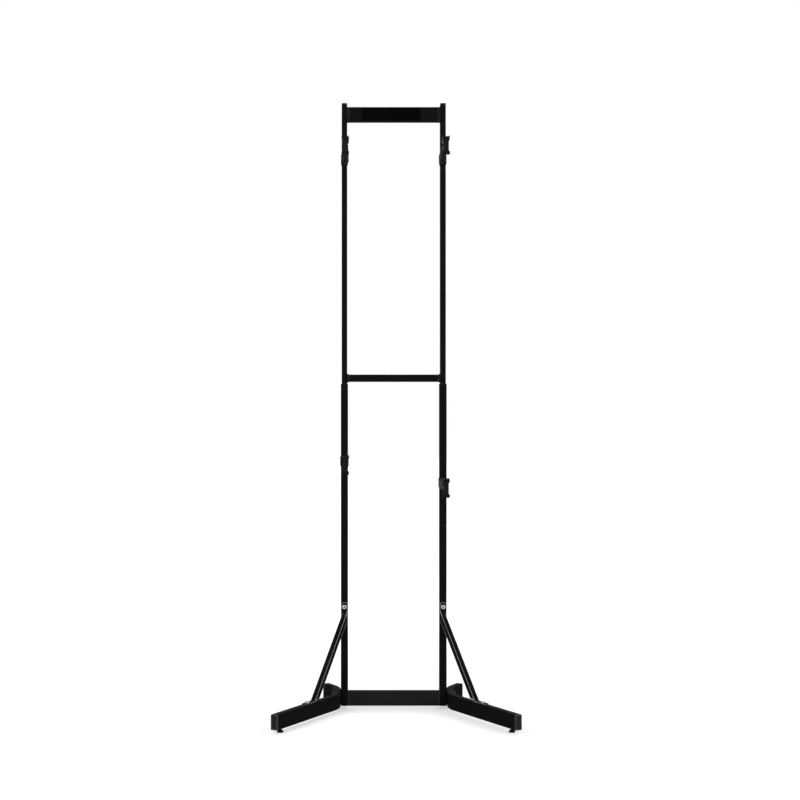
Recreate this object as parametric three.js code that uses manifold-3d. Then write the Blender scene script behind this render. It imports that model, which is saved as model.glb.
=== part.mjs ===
import * as THREE from 'three';
import { mergeVertices } from 'three/addons/utils/BufferGeometryUtils.js';
import Module from 'manifold-3d';

// Free-standing steel rack that carries two bicycles, one above the other.
// Two uprights stand on bent legs, and four padded arms reach forward from them.
// Millimetres, +Z up, +X to the right, the arms towards -Y.
// The origin is on the floor, in the middle of the footprint.

const wasm = await Module();
wasm.setup();

// Sizes of the whole rack
const rackHeight = 2063;
const uprightSpacing = 336;
const legClearance = 12;
const legFrontReach = 373;
const legRearReach = 150;

// Fits between the pieces
const seatGap = 0.3;
const turningGap = 0.5;
const holePlay = 0.3;
const overrun = 2;

// Upright tubes: the upper pair plugs into the lower pair
const upperTubeWidth = 18.5;
const upperTubeDepth = 44;
const upperTubeWall = 1.5;
const upperTubeCorner = 3;
const lowerTubeWall = 2.25;
const plugPlay = 0.5;
const plugDepth = 60;
const lowerUprightTop = 1107;
const lowerTubeWidth = upperTubeWidth + 2 * (plugPlay + lowerTubeWall);
const lowerTubeDepth = upperTubeDepth + 2 * (plugPlay + lowerTubeWall);
const lowerTubeCorner = upperTubeCorner + plugPlay;
const uprightAxisY = lowerTubeDepth / 2;
const uprightAxisX = uprightSpacing / 2;
const lowerUprightLength = lowerUprightTop - legClearance;
const upperUprightBottom = lowerUprightTop - plugDepth;

// Crossbars between the uprights
const crossbarDepth = 25;
const crossbarWall = 1.5;
const crossbarCorner = 3;
const crossbarSetback = 1;
const lowerCrossbarHeight = 50;
const midCrossbarHeight = 25;
const midCrossbarRise = 7;
const headerHeight = 50;
const headerDrop = 13.5;
const flangeThickness = 4;
const midFlangeHeight = 30;
const flangeDepth = 30;
const ventRadius = 4;

// Bent legs of rectangular tube
const legWidth = 25;
const legHeight = 50;
const legWall = 1.5;
const legCorner = 4;
const legSplay = THREE.MathUtils.degToRad(31);
const legBendRadius = 110;
const legFrontBend = 45;
const legRearBend = 76;
const legAxisX = uprightAxisX + lowerTubeWidth / 2 + seatGap + legWidth / 2;

// Moulded caps in the open tube ends
const capFlange = 3;
const capEdge = 0.8;
const capPlugLength = 14;
const capPlugWall = 2;
const capPlugPlay = 0.3;

// Levelling feet
const footInset = 36;
const footRadius = 11;
const footRim = 2;
const footHeight = 8;
const footNeckRadius = 6.5;
const studRadius = 4;
const studReach = 22;

// Bolts: the large ones hold legs and braces, the small ones lock the plugged tubes
const boltRadius = 4;
const boltHeadRadius = 7.8;
const boltHeadHeight = 4.6;
const boltTail = 6;
const legBoltLevelShares = [0.25, 0.75];
const screwRadius = 2.5;
const screwHeadRadius = 5;
const screwHeadHeight = 3;
const screwDrop = 25;

// Angle braces from the uprights down to the legs
const braceThickness = 3;
const braceFlange = 18;
const braceNotch = 8;
const braceNotchRun = 10;
const braceBoltLevel = 349;
const braceTabRise = 15;
const braceTabDrop = 23;
const braceBendAlong = 148;
const braceFootAlong = 184;
const braceFootTail = 20;

// Arms: a sleeve on the upright with a tube welded to it
const upperCradleDrop = 160;
const lowerLeftCradleDrop = 232.5;
const lowerRightCradleDrop = 306;
const sleeveWall = 2;
const sleeveHeight = 32;
const armTubeWidth = 18;
const armTubeHeight = 25;
const armTubeWall = 2;
const armTubeCorner = 3;
const armReach = 215;
const armInboard = 6;
const armEndPlate = 10;
const sleeveBossRadius = 8;
const sleeveBossLength = 8;

// Clamp knob at the back of each sleeve
const knobRadius = 12;
const knobLobes = 5;
const knobLobeDepth = 1.6;
const knobThickness = 14;
const knobEdge = 1.4;
const knobCollarRadius = 8;
const knobCollarLength = 4;
const knobStandoff = 1.5;

// Moulded cradle at the arm's end
const cradleWidth = 24;
const cradleHubDrop = 31;
const cradleHubRadius = 9;
const cradleHubLength = 46;
const cradleNeckWidth = 11;
const cradleShoulder = 8;
const cradleNeckTop = 18;
const cradleEdge = 2;
const cradleLipEdge = 4;
const frontLip = 9.5;
const rearLip = 5.5;
const frontLipDepth = 13;
const hornNotchDepth = 7;

// Ribbed rubber pad in the cradle's saddle
const saddleRadius = 24.4;
const saddleDepth = 12.2;
const padThickness = 3;
const padRibDepth = 1.3;
const padRibs = 7;
const padWidth = 21;
const padSpan = THREE.MathUtils.degToRad(45);

// Rubber strap with a T-shaped end, on a pin in the front lip
const strapWidth = 17.4;
const strapThickness = 3.5;
const strapBarrelRadius = 4;
const strapLength = 56;
const strapTeeWidth = 24;
const strapTeeHeight = 12;
const strapTeeThickness = 7;
const strapRibWidth = 6;
const strapRibProud = 1.2;
const strapRibInset = 9;
const strapPlay = 0.3;
const strapPinRadius = 1.5;
const strapPinDrop = 6;

// How finely the round forms are stepped
const cornerSteps = 2;
const edgeSteps = 1;
const roundSides = 16;
const boltSides = 12;
const holeSides = 12;
const bendSteps = 5;
const saddleSteps = 6;
const knobSteps = 25;

// Chamfer inside a tube's corner, as a share of the corner's radius past the wall
const boreChamferShare = 0.6;

const quarterTurn = Math.PI / 2;

// Finishes
const blackPowderCoat = new THREE.MeshStandardMaterial({ color: 0x17181a, roughness: 0.5, metalness: 0.0 });
const blackPlastic = new THREE.MeshStandardMaterial({ color: 0x232427, roughness: 0.6, metalness: 0.0 });
const blackRubber = new THREE.MeshStandardMaterial({ color: 0x1b1b1c, roughness: 0.85, metalness: 0.0 });
const zincPlate = new THREE.MeshStandardMaterial({ color: 0xc4c6c8, roughness: 0.35, metalness: 1.0 });

// Joining and cutting

// Welds a closed geometry into a solid, without the folded triangles of a revolve's axis.
function solidOf(geometry) {
  const bare = geometry.clone();
  bare.deleteAttribute('normal');
  bare.deleteAttribute('uv');
  const welded = mergeVertices(bare);
  const order = welded.index.array;
  const faces = [];
  for (let i = 0; i < order.length; i += 3) {
    const face = [order[i], order[i + 1], order[i + 2]];
    if (new Set(face).size === face.length) {
      faces.push(...face);
    }
  }
  const vertProperties = welded.attributes.position.array;
  return new wasm.Manifold(new wasm.Mesh({ numProp: 3, vertProperties, triVerts: new Uint32Array(faces) }));
}

function geometryOf(body) {
  const mesh = body.getMesh();
  const geometry = new THREE.BufferGeometry();
  geometry.setAttribute('position', new THREE.BufferAttribute(mesh.vertProperties, mesh.numProp));
  geometry.setIndex(new THREE.BufferAttribute(mesh.triVerts, 1));
  geometry.computeVertexNormals();
  return geometry;
}

function piece(name, body, material) {
  const mesh = new THREE.Mesh(geometryOf(body), material);
  mesh.name = name;
  return mesh;
}

// Left-hand twin of a piece that isn't symmetric.
function mirroredAcrossX(body) {
  const geometry = geometryOf(body);
  geometry.scale(-1, 1, 1);
  const order = geometry.index.array;
  for (let i = 0; i < order.length; i += 3) {
    [order[i], order[i + 1]] = [order[i + 1], order[i]];
  }
  return solidOf(geometry);
}

// Shapes that several pieces share

function roundedRectangle(width, height, radius, outline = new THREE.Shape()) {
  const x = width / 2 - radius;
  const y = height / 2 - radius;
  outline.moveTo(-x, -height / 2);
  outline.absarc(x, -y, radius, -quarterTurn, 0, false);
  outline.absarc(x, y, radius, 0, quarterTurn, false);
  outline.absarc(-x, y, radius, quarterTurn, 2 * quarterTurn, false);
  outline.absarc(-x, -y, radius, 2 * quarterTurn, 3 * quarterTurn, false);
  outline.closePath();
  return outline;
}

// A rectangle with its corners cut off, as the bore of a formed tube.
function chamferedRectangle(width, height, chamfer, outline = new THREE.Shape()) {
  const x = width / 2;
  const y = height / 2;
  outline.moveTo(-x + chamfer, -y);
  outline.lineTo(x - chamfer, -y);
  outline.lineTo(x, -y + chamfer);
  outline.lineTo(x, y - chamfer);
  outline.lineTo(x - chamfer, y);
  outline.lineTo(-x + chamfer, y);
  outline.lineTo(-x, y - chamfer);
  outline.lineTo(-x, -y + chamfer);
  outline.closePath();
  return outline;
}

function tubeSection(width, height, wall, corner) {
  const section = roundedRectangle(width, height, corner);
  const chamfer = boreChamferShare * (corner - wall);
  section.holes.push(chamferedRectangle(width - 2 * wall, height - 2 * wall, chamfer, new THREE.Path()));
  return section;
}

// A prism on a flat outline, from the outline's plane along +Z.
function prism(outline, length) {
  const settings = { depth: length, bevelEnabled: false, curveSegments: cornerSteps };
  return new THREE.ExtrudeGeometry(outline, settings);
}

function roundBar(radius, length, sides = roundSides) {
  return new THREE.CylinderGeometry(radius, radius, length, sides);
}

// Cutter for a round hole, centred on a point, along one axis.
function holeCutter(radius, length, axis, x, y, z) {
  const bar = roundBar(radius, length, holeSides);
  if (axis === 'x') {
    bar.rotateZ(quarterTurn);
  }
  if (axis === 'z') {
    bar.rotateX(quarterTurn);
  }
  return solidOf(bar.translate(x, y, z));
}

function blockCutter(width, depth, height, x, y, z) {
  return solidOf(new THREE.BoxGeometry(width, depth, height).translate(x, y, z));
}

// Button-headed bolt on the Y axis: the head stands on the origin, the shank hangs below it.
function buttonBolt(radius, headRadius, headHeight, shank) {
  const domeShares = [[1, 0], [1, 0.4], [0.7, 0.86], [0, 1]];
  const profile = [
    new THREE.Vector2(0, -shank),
    new THREE.Vector2(radius, -shank),
    new THREE.Vector2(radius, 0),
  ];
  for (const [acrossShare, upShare] of domeShares) {
    profile.push(new THREE.Vector2(headRadius * acrossShare, headHeight * upShare));
  }
  return solidOf(new THREE.LatheGeometry(profile, boltSides));
}

// Moulded cap: a flange with softened edges over a hollow plug. The flange faces +Z.
function endCap(width, height, corner, wall) {
  const face = roundedRectangle(width - 2 * capEdge, height - 2 * capEdge, corner - capEdge);
  const softened = {
    depth: capFlange - 2 * capEdge,
    bevelThickness: capEdge,
    bevelSize: capEdge,
    bevelSegments: edgeSteps,
    curveSegments: cornerSteps,
  };
  const flange = new THREE.ExtrudeGeometry(face, softened).translate(0, 0, capEdge);
  const plugWidth = width - 2 * (wall + capPlugPlay);
  const plugHeight = height - 2 * (wall + capPlugPlay);
  const section = chamferedRectangle(plugWidth, plugHeight, corner / 2);
  const hollow = chamferedRectangle(
    plugWidth - 2 * capPlugWall, plugHeight - 2 * capPlugWall, corner / 2, new THREE.Path(),
  );
  section.holes.push(hollow);
  const plug = prism(section, capPlugLength + capEdge).translate(0, 0, -capPlugLength);
  return solidOf(flange).add(solidOf(plug));
}

// Uprights

function lowerUpright() {
  const section = tubeSection(lowerTubeWidth, lowerTubeDepth, lowerTubeWall, lowerTubeCorner);
  let body = solidOf(prism(section, lowerUprightLength));
  const holeRadius = boltRadius + holePlay;
  for (const share of legBoltLevelShares) {
    const level = share * legHeight;
    const across = lowerTubeWidth + 2 * overrun;
    const y = crossbarAxisY(0) - uprightAxisY;
    body = body.subtract(holeCutter(holeRadius, across, 'x', 0, y, level));
  }
  const braceLevel = braceBoltLevel - legClearance;
  const throughWall = 2 * (lowerTubeWall + overrun);
  body = body.subtract(holeCutter(holeRadius, throughWall, 'y', 0, -lowerTubeDepth / 2, braceLevel));
  const screwLevel = lowerUprightLength - screwDrop;
  const screwHole = holeCutter(screwRadius + holePlay, throughWall, 'y', 0, lowerTubeDepth / 2, screwLevel);
  return body.subtract(screwHole);
}

function upperUpright() {
  const length = rackHeight - capFlange - seatGap - upperUprightBottom;
  const section = tubeSection(upperTubeWidth, upperTubeDepth, upperTubeWall, upperTubeCorner);
  const throughWall = 2 * (upperTubeWall + overrun);
  const screwLevel = plugDepth - screwDrop;
  const screwHole = holeCutter(screwRadius + holePlay, throughWall, 'y', 0, upperTubeDepth / 2, screwLevel);
  return solidOf(prism(section, length)).subtract(screwHole);
}

// Crossbars

// Middle of a crossbar's depth, set back from the front of a tube that starts at frontY.
function crossbarAxisY(frontY) {
  return frontY + crossbarSetback + crossbarDepth / 2;
}

// Tube with a plate welded on each end. It lies along Z, centred, its height along Y.
function flangedBar(length, height, plateWidth, plateHeight, plateThickness) {
  const section = tubeSection(crossbarDepth, height, crossbarWall, crossbarCorner);
  const bar = prism(section, length - 2 * plateThickness);
  let body = solidOf(bar.translate(0, 0, plateThickness - length / 2));
  const plateOutline = roundedRectangle(plateWidth, plateHeight, crossbarCorner);
  for (const end of [-1, 1]) {
    const middle = end * (length - plateThickness) / 2;
    const plate = prism(plateOutline, plateThickness).translate(0, 0, middle - plateThickness / 2);
    body = body.add(solidOf(plate));
  }
  return body;
}

function lowerCrossbar() {
  const length = uprightSpacing - lowerTubeWidth - 2 * seatGap;
  const height = lowerCrossbarHeight;
  let body = flangedBar(length, height, crossbarDepth, height, flangeThickness);
  for (const share of legBoltLevelShares) {
    const y = (share - 0.5) * legHeight;
    body = body.subtract(holeCutter(boltRadius + holePlay, length + 2 * overrun, 'z', 0, y, 0));
  }
  return body;
}

function upperCrossbar(height, plateHeight) {
  const length = uprightSpacing - upperTubeWidth - 2 * seatGap;
  const body = flangedBar(length, height, flangeDepth, plateHeight, flangeThickness);
  return body.subtract(holeCutter(ventRadius, length + 2 * overrun, 'z', 0, 0, 0));
}

// Turns a bar that lies along Z, with its height along Y, to lie along X.
function layAcross(mesh, y, z) {
  mesh.rotation.set(quarterTurn, 0, quarterTurn, 'ZYX');
  mesh.position.set(0, y, z);
  return mesh;
}

// Legs

// Centreline of straight runs joined by round bends. It is stepped only where it bends.
class BentLine extends THREE.Curve {
  constructor(corners, radius) {
    super();
    this.stops = [];
    const last = corners.length - 1;
    const headings = corners.slice(1).map((corner, i) => corner.clone().sub(corners[i]).normalize());
    this.addStop(corners[0], headings[0]);
    for (let i = 1; i < last; i += 1) {
      this.addBend(corners[i], headings[i - 1], headings[i], radius);
    }
    this.addStop(corners[last], headings[last - 1]);
  }

  addStop(point, heading) {
    this.stops.push({ point: point.clone(), heading: heading.clone() });
  }

  addBend(corner, before, after, radius) {
    const turn = before.angleTo(after);
    const start = corner.clone().addScaledVector(before, -radius * Math.tan(turn / 2));
    const inward = after.clone().addScaledVector(before, -before.dot(after)).normalize();
    for (let step = 0; step <= bendSteps; step += 1) {
      const angle = turn * step / bendSteps;
      const point = start.clone().addScaledVector(before, radius * Math.sin(angle));
      point.addScaledVector(inward, radius * (1 - Math.cos(angle)));
      const heading = before.clone().multiplyScalar(Math.cos(angle)).addScaledVector(inward, Math.sin(angle));
      this.addStop(point, heading);
    }
  }

  stopAt(share) {
    return this.stops[Math.round(share * (this.stops.length - 1))];
  }

  getPointAt(share, target = new THREE.Vector3()) {
    return target.copy(this.stopAt(share).point);
  }

  getTangentAt(share, target = new THREE.Vector3()) {
    return target.copy(this.stopAt(share).heading);
  }
}

// The legs' straight ends, from their bends to the outer faces of their caps.
const cornerBack = Math.sin(legSplay) * legWidth / 2;
const frontRun = (legFrontReach - legFrontBend - cornerBack) / Math.cos(legSplay);
const rearRun = (legRearReach - legRearBend - cornerBack) / Math.cos(legSplay);
const capStack = capFlange + seatGap;

// Points on the right leg's centreline, at a distance past its front or rear bend.
function frontArmPoint(along, z = 0) {
  const x = legAxisX + along * Math.sin(legSplay);
  return new THREE.Vector3(x, -legFrontBend - along * Math.cos(legSplay), z);
}

function rearArmPoint(along, z = 0) {
  const x = legAxisX + along * Math.sin(legSplay);
  return new THREE.Vector3(x, legRearBend + along * Math.cos(legSplay), z);
}

function rightLeg() {
  const corners = [
    frontArmPoint(frontRun - capStack),
    frontArmPoint(0),
    rearArmPoint(0),
    rearArmPoint(rearRun - capStack),
  ];
  const line = new BentLine(corners, legBendRadius);
  const section = tubeSection(legHeight, legWidth, legWall, legCorner);
  const sweep = { steps: line.stops.length - 1, extrudePath: line, curveSegments: cornerSteps };
  let body = solidOf(new THREE.ExtrudeGeometry(section, sweep));
  const throughWall = 2 * (legWall + overrun);
  for (const foot of [frontArmPoint(frontRun - footInset), rearArmPoint(rearRun - footInset)]) {
    body = body.subtract(holeCutter(studRadius + holePlay, throughWall, 'z', foot.x, foot.y, -legHeight / 2));
  }
  const tab = frontArmPoint(braceFootAlong);
  body = body.subtract(holeCutter(boltRadius + holePlay, throughWall, 'z', tab.x, tab.y, legHeight / 2));
  for (const share of legBoltLevelShares) {
    const z = (share - 0.5) * legHeight;
    const across = legWidth + 2 * overrun;
    body = body.subtract(holeCutter(boltRadius + holePlay, across, 'x', legAxisX, crossbarAxisY(0), z));
  }
  return body;
}

// Levelling foot: a cone-sided pad and its stud, with the pad's underside on the floor.
function levellingFoot() {
  const profile = [
    new THREE.Vector2(0, 0),
    new THREE.Vector2(footRadius, 0),
    new THREE.Vector2(footRadius, footRim),
    new THREE.Vector2(footNeckRadius, footHeight),
    new THREE.Vector2(studRadius, footHeight),
    new THREE.Vector2(studRadius, footHeight + studReach),
    new THREE.Vector2(0, footHeight + studReach),
  ];
  return solidOf(new THREE.LatheGeometry(profile, roundSides));
}

// Braces

// Cross-section of the angle as distances across its face and behind it. Its inner flange
// reaches to a depth, and at the strip's own thickness that flange is gone.
function angleSection(depth) {
  const half = braceFlange / 2;
  const inside = -half + braceThickness;
  const root = depth > braceThickness ? inside : inside + braceThickness;
  const face = [[-half, 0], [half, 0]];
  const back = [[half, braceThickness], [root, braceThickness], [inside, depth], [-half, depth]];
  return [...face, ...back];
}

// Skins a row of rings that have the same number of points, and closes both ends.
function loft(rings) {
  const size = rings[0].length;
  const last = (rings.length - 1) * size;
  const faces = [];
  for (let ring = 0; ring < last; ring += size) {
    for (let i = 0; i < size; i += 1) {
      const next = (i + 1) % size;
      faces.push(ring + i, ring + size + i, ring + size + next, ring + i, ring + size + next, ring + next);
    }
  }
  for (let i = 1; i < size - 1; i += 1) {
    faces.push(0, i, i + 1, last, last + i + 1, last + i);
  }
  const geometry = new THREE.BufferGeometry().setFromPoints(rings.flat());
  geometry.setIndex(faces);
  return solidOf(geometry);
}

// Angle iron whose inner flange is cut away near both ends. The flange that is left is bent
// along a slanting line to lie on the upright, and straight across to lie on the leg.
function rightBrace() {
  const tabY = -seatGap - braceThickness;
  const footZ = legClearance + legHeight + seatGap + braceThickness;
  const up = new THREE.Vector3(0, 0, 1);
  const right = new THREE.Vector3(1, 0, 0);
  const forward = new THREE.Vector3(0, -1, 0);
  const tabTop = new THREE.Vector3(uprightAxisX, tabY, braceBoltLevel + braceTabRise);
  const upperBend = new THREE.Vector3(uprightAxisX, tabY, braceBoltLevel - braceTabDrop);
  const lowerBend = frontArmPoint(braceBendAlong, footZ);
  const footEnd = frontArmPoint(braceFootAlong + braceFootTail, footZ);
  const run = lowerBend.clone().sub(upperBend);
  const length = run.length();
  run.normalize();
  const side = up.clone().cross(run).normalize();
  const out = run.clone().cross(side);

  const square = (at, sideways, face) => (across, behind) => {
    return at.clone().addScaledVector(sideways, across).addScaledVector(face, -behind);
  };
  const bent = (at, face) => (across, behind) => {
    const back = out.clone().add(face).divideScalar(1 + out.dot(face));
    const fold = out.clone().cross(face);
    const point = at.clone().addScaledVector(back, -behind);
    const missing = across + behind * back.dot(side);
    return point.addScaledVector(fold, missing / fold.dot(side));
  };
  const onStrip = (distance) => square(upperBend.clone().addScaledVector(run, distance), side, out);
  const flangeRun = braceNotch + braceNotchRun;
  const stations = [
    { place: square(tabTop, right.clone().divideScalar(side.x), forward), depth: braceThickness },
    { place: bent(upperBend, forward), depth: braceThickness },
    { place: onStrip(braceNotch), depth: braceThickness },
    { place: onStrip(flangeRun), depth: braceFlange },
    { place: onStrip(length - flangeRun), depth: braceFlange },
    { place: onStrip(length - braceNotch), depth: braceThickness },
    { place: bent(lowerBend, up), depth: braceThickness },
    { place: square(footEnd, side, up), depth: braceThickness },
  ];
  const rings = stations.map(({ place, depth }) => {
    return angleSection(depth).map(([across, behind]) => place(across, behind));
  });
  const hole = boltRadius + holePlay;
  const through = 2 * (braceThickness + overrun);
  const foot = frontArmPoint(braceFootAlong, footZ);
  return loft(rings)
    .subtract(holeCutter(hole, through, 'y', uprightAxisX, tabY, braceBoltLevel))
    .subtract(holeCutter(hole, through, 'z', foot.x, foot.y, foot.z));
}

// Arms

// Profile drawn in forward distance and height, given a width across X.
function acrossProfile(outline, width) {
  return prism(outline, width).translate(0, 0, -width / 2).rotateX(quarterTurn).rotateZ(-quarterTurn);
}

// Profile drawn in X and height, running forward from y = 0.
function forwardProfile(outline, length) {
  return prism(outline, length).rotateX(quarterTurn);
}

// Sleeve on the upright and the tube welded to its front, about the cradle's axis height.
function arm(tubeWidth, tubeDepth, tubeCorner, side) {
  const sleeveWidth = tubeWidth + 2 * (seatGap + sleeveWall);
  const sleeveDepth = tubeDepth + 2 * (seatGap + sleeveWall);
  const section = tubeSection(sleeveWidth, sleeveDepth, sleeveWall, tubeCorner + sleeveWall);
  const sleeve = prism(section, sleeveHeight).translate(0, uprightAxisY, -sleeveHeight / 2);
  const sleeveFront = uprightAxisY - sleeveDepth / 2;
  const sleeveBack = uprightAxisY + sleeveDepth / 2;
  const x = -side * armInboard;
  const rootY = sleeveFront + sleeveWall / 2;
  const tubeOutline = roundedRectangle(armTubeWidth, armTubeHeight, armTubeCorner);
  const tube = forwardProfile(tubeOutline, rootY + armReach);
  const chamfer = boreChamferShare * (armTubeCorner - armTubeWall);
  const boreWidth = armTubeWidth - 2 * armTubeWall;
  const boreHeight = armTubeHeight - 2 * armTubeWall;
  const boreOutline = chamferedRectangle(boreWidth, boreHeight, chamfer);
  const bore = forwardProfile(boreOutline, sleeveFront + armReach - armEndPlate);
  const boss = roundBar(sleeveBossRadius, sleeveBossLength + sleeveWall / 2);
  boss.translate(0, sleeveBack + (sleeveBossLength - sleeveWall / 2) / 2, 0);
  const knobHole = 2 * (sleeveBossLength + overrun);
  const spindleHole = 2 * (armEndPlate + overrun);
  return solidOf(sleeve)
    .add(solidOf(tube.translate(x, rootY, 0)))
    .add(solidOf(boss))
    .subtract(solidOf(bore.translate(x, sleeveFront, 0)))
    .subtract(holeCutter(studRadius + holePlay, knobHole, 'y', 0, sleeveBack + sleeveBossLength, 0))
    .subtract(holeCutter(boltRadius + holePlay, spindleHole, 'y', x, -armReach, 0));
}

// Clamp knob: lobed head, collar and stud on the Y axis. The stud's tip is at y = 0.
function clampKnob(studLength) {
  const outline = new THREE.Shape();
  for (let step = 0; step < knobSteps; step += 1) {
    const angle = 2 * Math.PI * step / knobSteps;
    const radius = knobRadius - knobEdge - knobLobeDepth / 2 * (1 - Math.cos(knobLobes * angle));
    const point = [radius * Math.cos(angle), radius * Math.sin(angle)];
    if (step === 0) {
      outline.moveTo(...point);
    } else {
      outline.lineTo(...point);
    }
  }
  outline.closePath();
  const softened = {
    depth: knobThickness - 2 * knobEdge,
    bevelThickness: knobEdge,
    bevelSize: knobEdge,
    bevelSegments: edgeSteps,
  };
  const headStart = studLength + knobCollarLength;
  const head = new THREE.ExtrudeGeometry(outline, softened).rotateX(-quarterTurn);
  head.translate(0, headStart + knobEdge, 0);
  const collar = roundBar(knobCollarRadius, knobCollarLength + knobEdge);
  collar.translate(0, studLength + (knobCollarLength + knobEdge) / 2, 0);
  const stud = roundBar(studRadius, headStart).translate(0, headStart / 2, 0);
  return solidOf(head).add(solidOf(collar)).add(solidOf(stud));
}

// Saddle arc shared by the cradle and its pad, in forward distance and height above the hub
const bedRadius = saddleRadius + padThickness + seatGap;
const lipTop = cradleHubDrop;
const saddleAxisZ = lipTop - saddleDepth + saddleRadius;
const bedHalfChord = Math.sqrt(bedRadius ** 2 - (saddleRadius - saddleDepth) ** 2);
const saddleAxisS = rearLip + bedHalfChord;
const cradleLength = saddleAxisS + bedHalfChord + frontLip;
const strapPinS = cradleLength - strapBarrelRadius - strapPlay - cradleEdge / 2;
const strapPinZ = lipTop - strapPinDrop;

// Cradle seen from the side: two lips, the saddle between them and the hub below.
function cradleSideOutline() {
  const bedAngle = Math.asin(bedHalfChord / bedRadius);
  const lipBottom = lipTop - frontLipDepth;
  const outline = new THREE.Shape();
  outline.moveTo(0, -cradleHubRadius);
  outline.lineTo(cradleHubLength, -cradleHubRadius);
  outline.lineTo(cradleHubLength, cradleHubRadius);
  outline.quadraticCurveTo(cradleHubLength, lipBottom, cradleLength, lipBottom);
  outline.lineTo(cradleLength, lipTop - cradleLipEdge);
  outline.absarc(cradleLength - cradleLipEdge, lipTop - cradleLipEdge, cradleLipEdge, 0, quarterTurn, false);
  outline.lineTo(saddleAxisS + bedHalfChord, lipTop);
  for (let step = 1; step < 2 * saddleSteps; step += 1) {
    const angle = bedAngle * (1 - step / saddleSteps);
    outline.lineTo(saddleAxisS + bedRadius * Math.sin(angle), saddleAxisZ - bedRadius * Math.cos(angle));
  }
  outline.lineTo(saddleAxisS - bedHalfChord, lipTop);
  outline.lineTo(cradleLipEdge, lipTop);
  outline.absarc(cradleLipEdge, lipTop - cradleLipEdge, cradleLipEdge, quarterTurn, 2 * quarterTurn, false);
  outline.closePath();
  return outline;
}

// Cradle seen from the front: a T-shaped top on a neck that runs down to a round hub.
function cradleFrontOutline() {
  const half = cradleWidth / 2;
  const neck = cradleNeckWidth / 2;
  const shoulderZ = lipTop - cradleShoulder;
  const neckTopZ = lipTop - cradleNeckTop;
  const meet = Math.acos(neck / cradleHubRadius);
  const outline = new THREE.Shape();
  outline.moveTo(-half, shoulderZ);
  outline.quadraticCurveTo(-half, neckTopZ, -neck, neckTopZ);
  outline.lineTo(-neck, cradleHubRadius * Math.sin(meet));
  const hubSteps = roundSides - saddleSteps;
  for (let step = 1; step < hubSteps; step += 1) {
    const angle = Math.PI - meet + (Math.PI + 2 * meet) * step / hubSteps;
    outline.lineTo(cradleHubRadius * Math.cos(angle), cradleHubRadius * Math.sin(angle));
  }
  outline.lineTo(neck, cradleHubRadius * Math.sin(meet));
  outline.lineTo(neck, neckTopZ);
  outline.quadraticCurveTo(half, neckTopZ, half, shoulderZ);
  outline.lineTo(half, lipTop - cradleEdge);
  outline.lineTo(half - cradleEdge, lipTop);
  outline.lineTo(-half + cradleEdge, lipTop);
  outline.lineTo(-half, lipTop - cradleEdge);
  outline.closePath();
  return outline;
}

function cradle() {
  const slot = strapWidth + 2 * strapPlay;
  const side = solidOf(acrossProfile(cradleSideOutline(), cradleWidth));
  const front = solidOf(forwardProfile(cradleFrontOutline(), cradleLength));
  const padEnd = saddleAxisS + bedRadius * Math.sin(padSpan);
  const slotFloor = strapPinZ - strapBarrelRadius - 2 * strapPlay;
  const slotLength = cradleLength - padEnd + overrun;
  const slotHeight = lipTop - slotFloor + overrun;
  const barrelSlot = blockCutter(
    slot, slotLength, slotHeight,
    0, -padEnd - slotLength / 2, slotFloor + slotHeight / 2,
  );
  const bladeBack = strapPinS + strapBarrelRadius - strapThickness - strapPlay;
  const bladeSlotLength = cradleLength - bladeBack + overrun;
  const bladeSlotHeight = frontLipDepth + 2 * overrun;
  const bladeSlot = blockCutter(
    slot, bladeSlotLength, bladeSlotHeight,
    0, -bladeBack - bladeSlotLength / 2, lipTop + overrun - bladeSlotHeight / 2,
  );
  const hornLength = 2 * (rearLip + overrun);
  const hornHeight = 2 * hornNotchDepth;
  const hornNotch = blockCutter(slot, hornLength, hornHeight, 0, 0, lipTop);
  const through = 2 * (cradleLength + overrun);
  return side
    .intersect(front)
    .subtract(barrelSlot)
    .subtract(bladeSlot)
    .subtract(hornNotch)
    .subtract(holeCutter(strapPinRadius + holePlay, cradleWidth + 2 * overrun, 'x', 0, -strapPinS, strapPinZ))
    .subtract(holeCutter(boltRadius + holePlay, through, 'y', 0, 0, 0));
}

// Rubber pad: a strip bent to the saddle, with ribs across the bicycle's tube.
function cradlePad() {
  const outerRadius = saddleRadius + padThickness;
  const outline = new THREE.Shape();
  const at = (radius, angle) => {
    return [saddleAxisS + radius * Math.sin(angle), saddleAxisZ - radius * Math.cos(angle)];
  };
  outline.moveTo(...at(outerRadius, -padSpan));
  for (let step = 1; step <= 2 * saddleSteps; step += 1) {
    outline.lineTo(...at(outerRadius, padSpan * (step / saddleSteps - 1)));
  }
  const pitch = 2 * padSpan / padRibs;
  const ribShares = [0, 0.5, 0.62, 0.88];
  for (let rib = 0; rib < padRibs; rib += 1) {
    for (const [corner, share] of ribShares.entries()) {
      const radius = corner < 2 ? saddleRadius : saddleRadius + padRibDepth;
      outline.lineTo(...at(radius, padSpan - pitch * (rib + share)));
    }
  }
  outline.lineTo(...at(saddleRadius, -padSpan));
  outline.closePath();
  return solidOf(acrossProfile(outline, padWidth));
}

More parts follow.
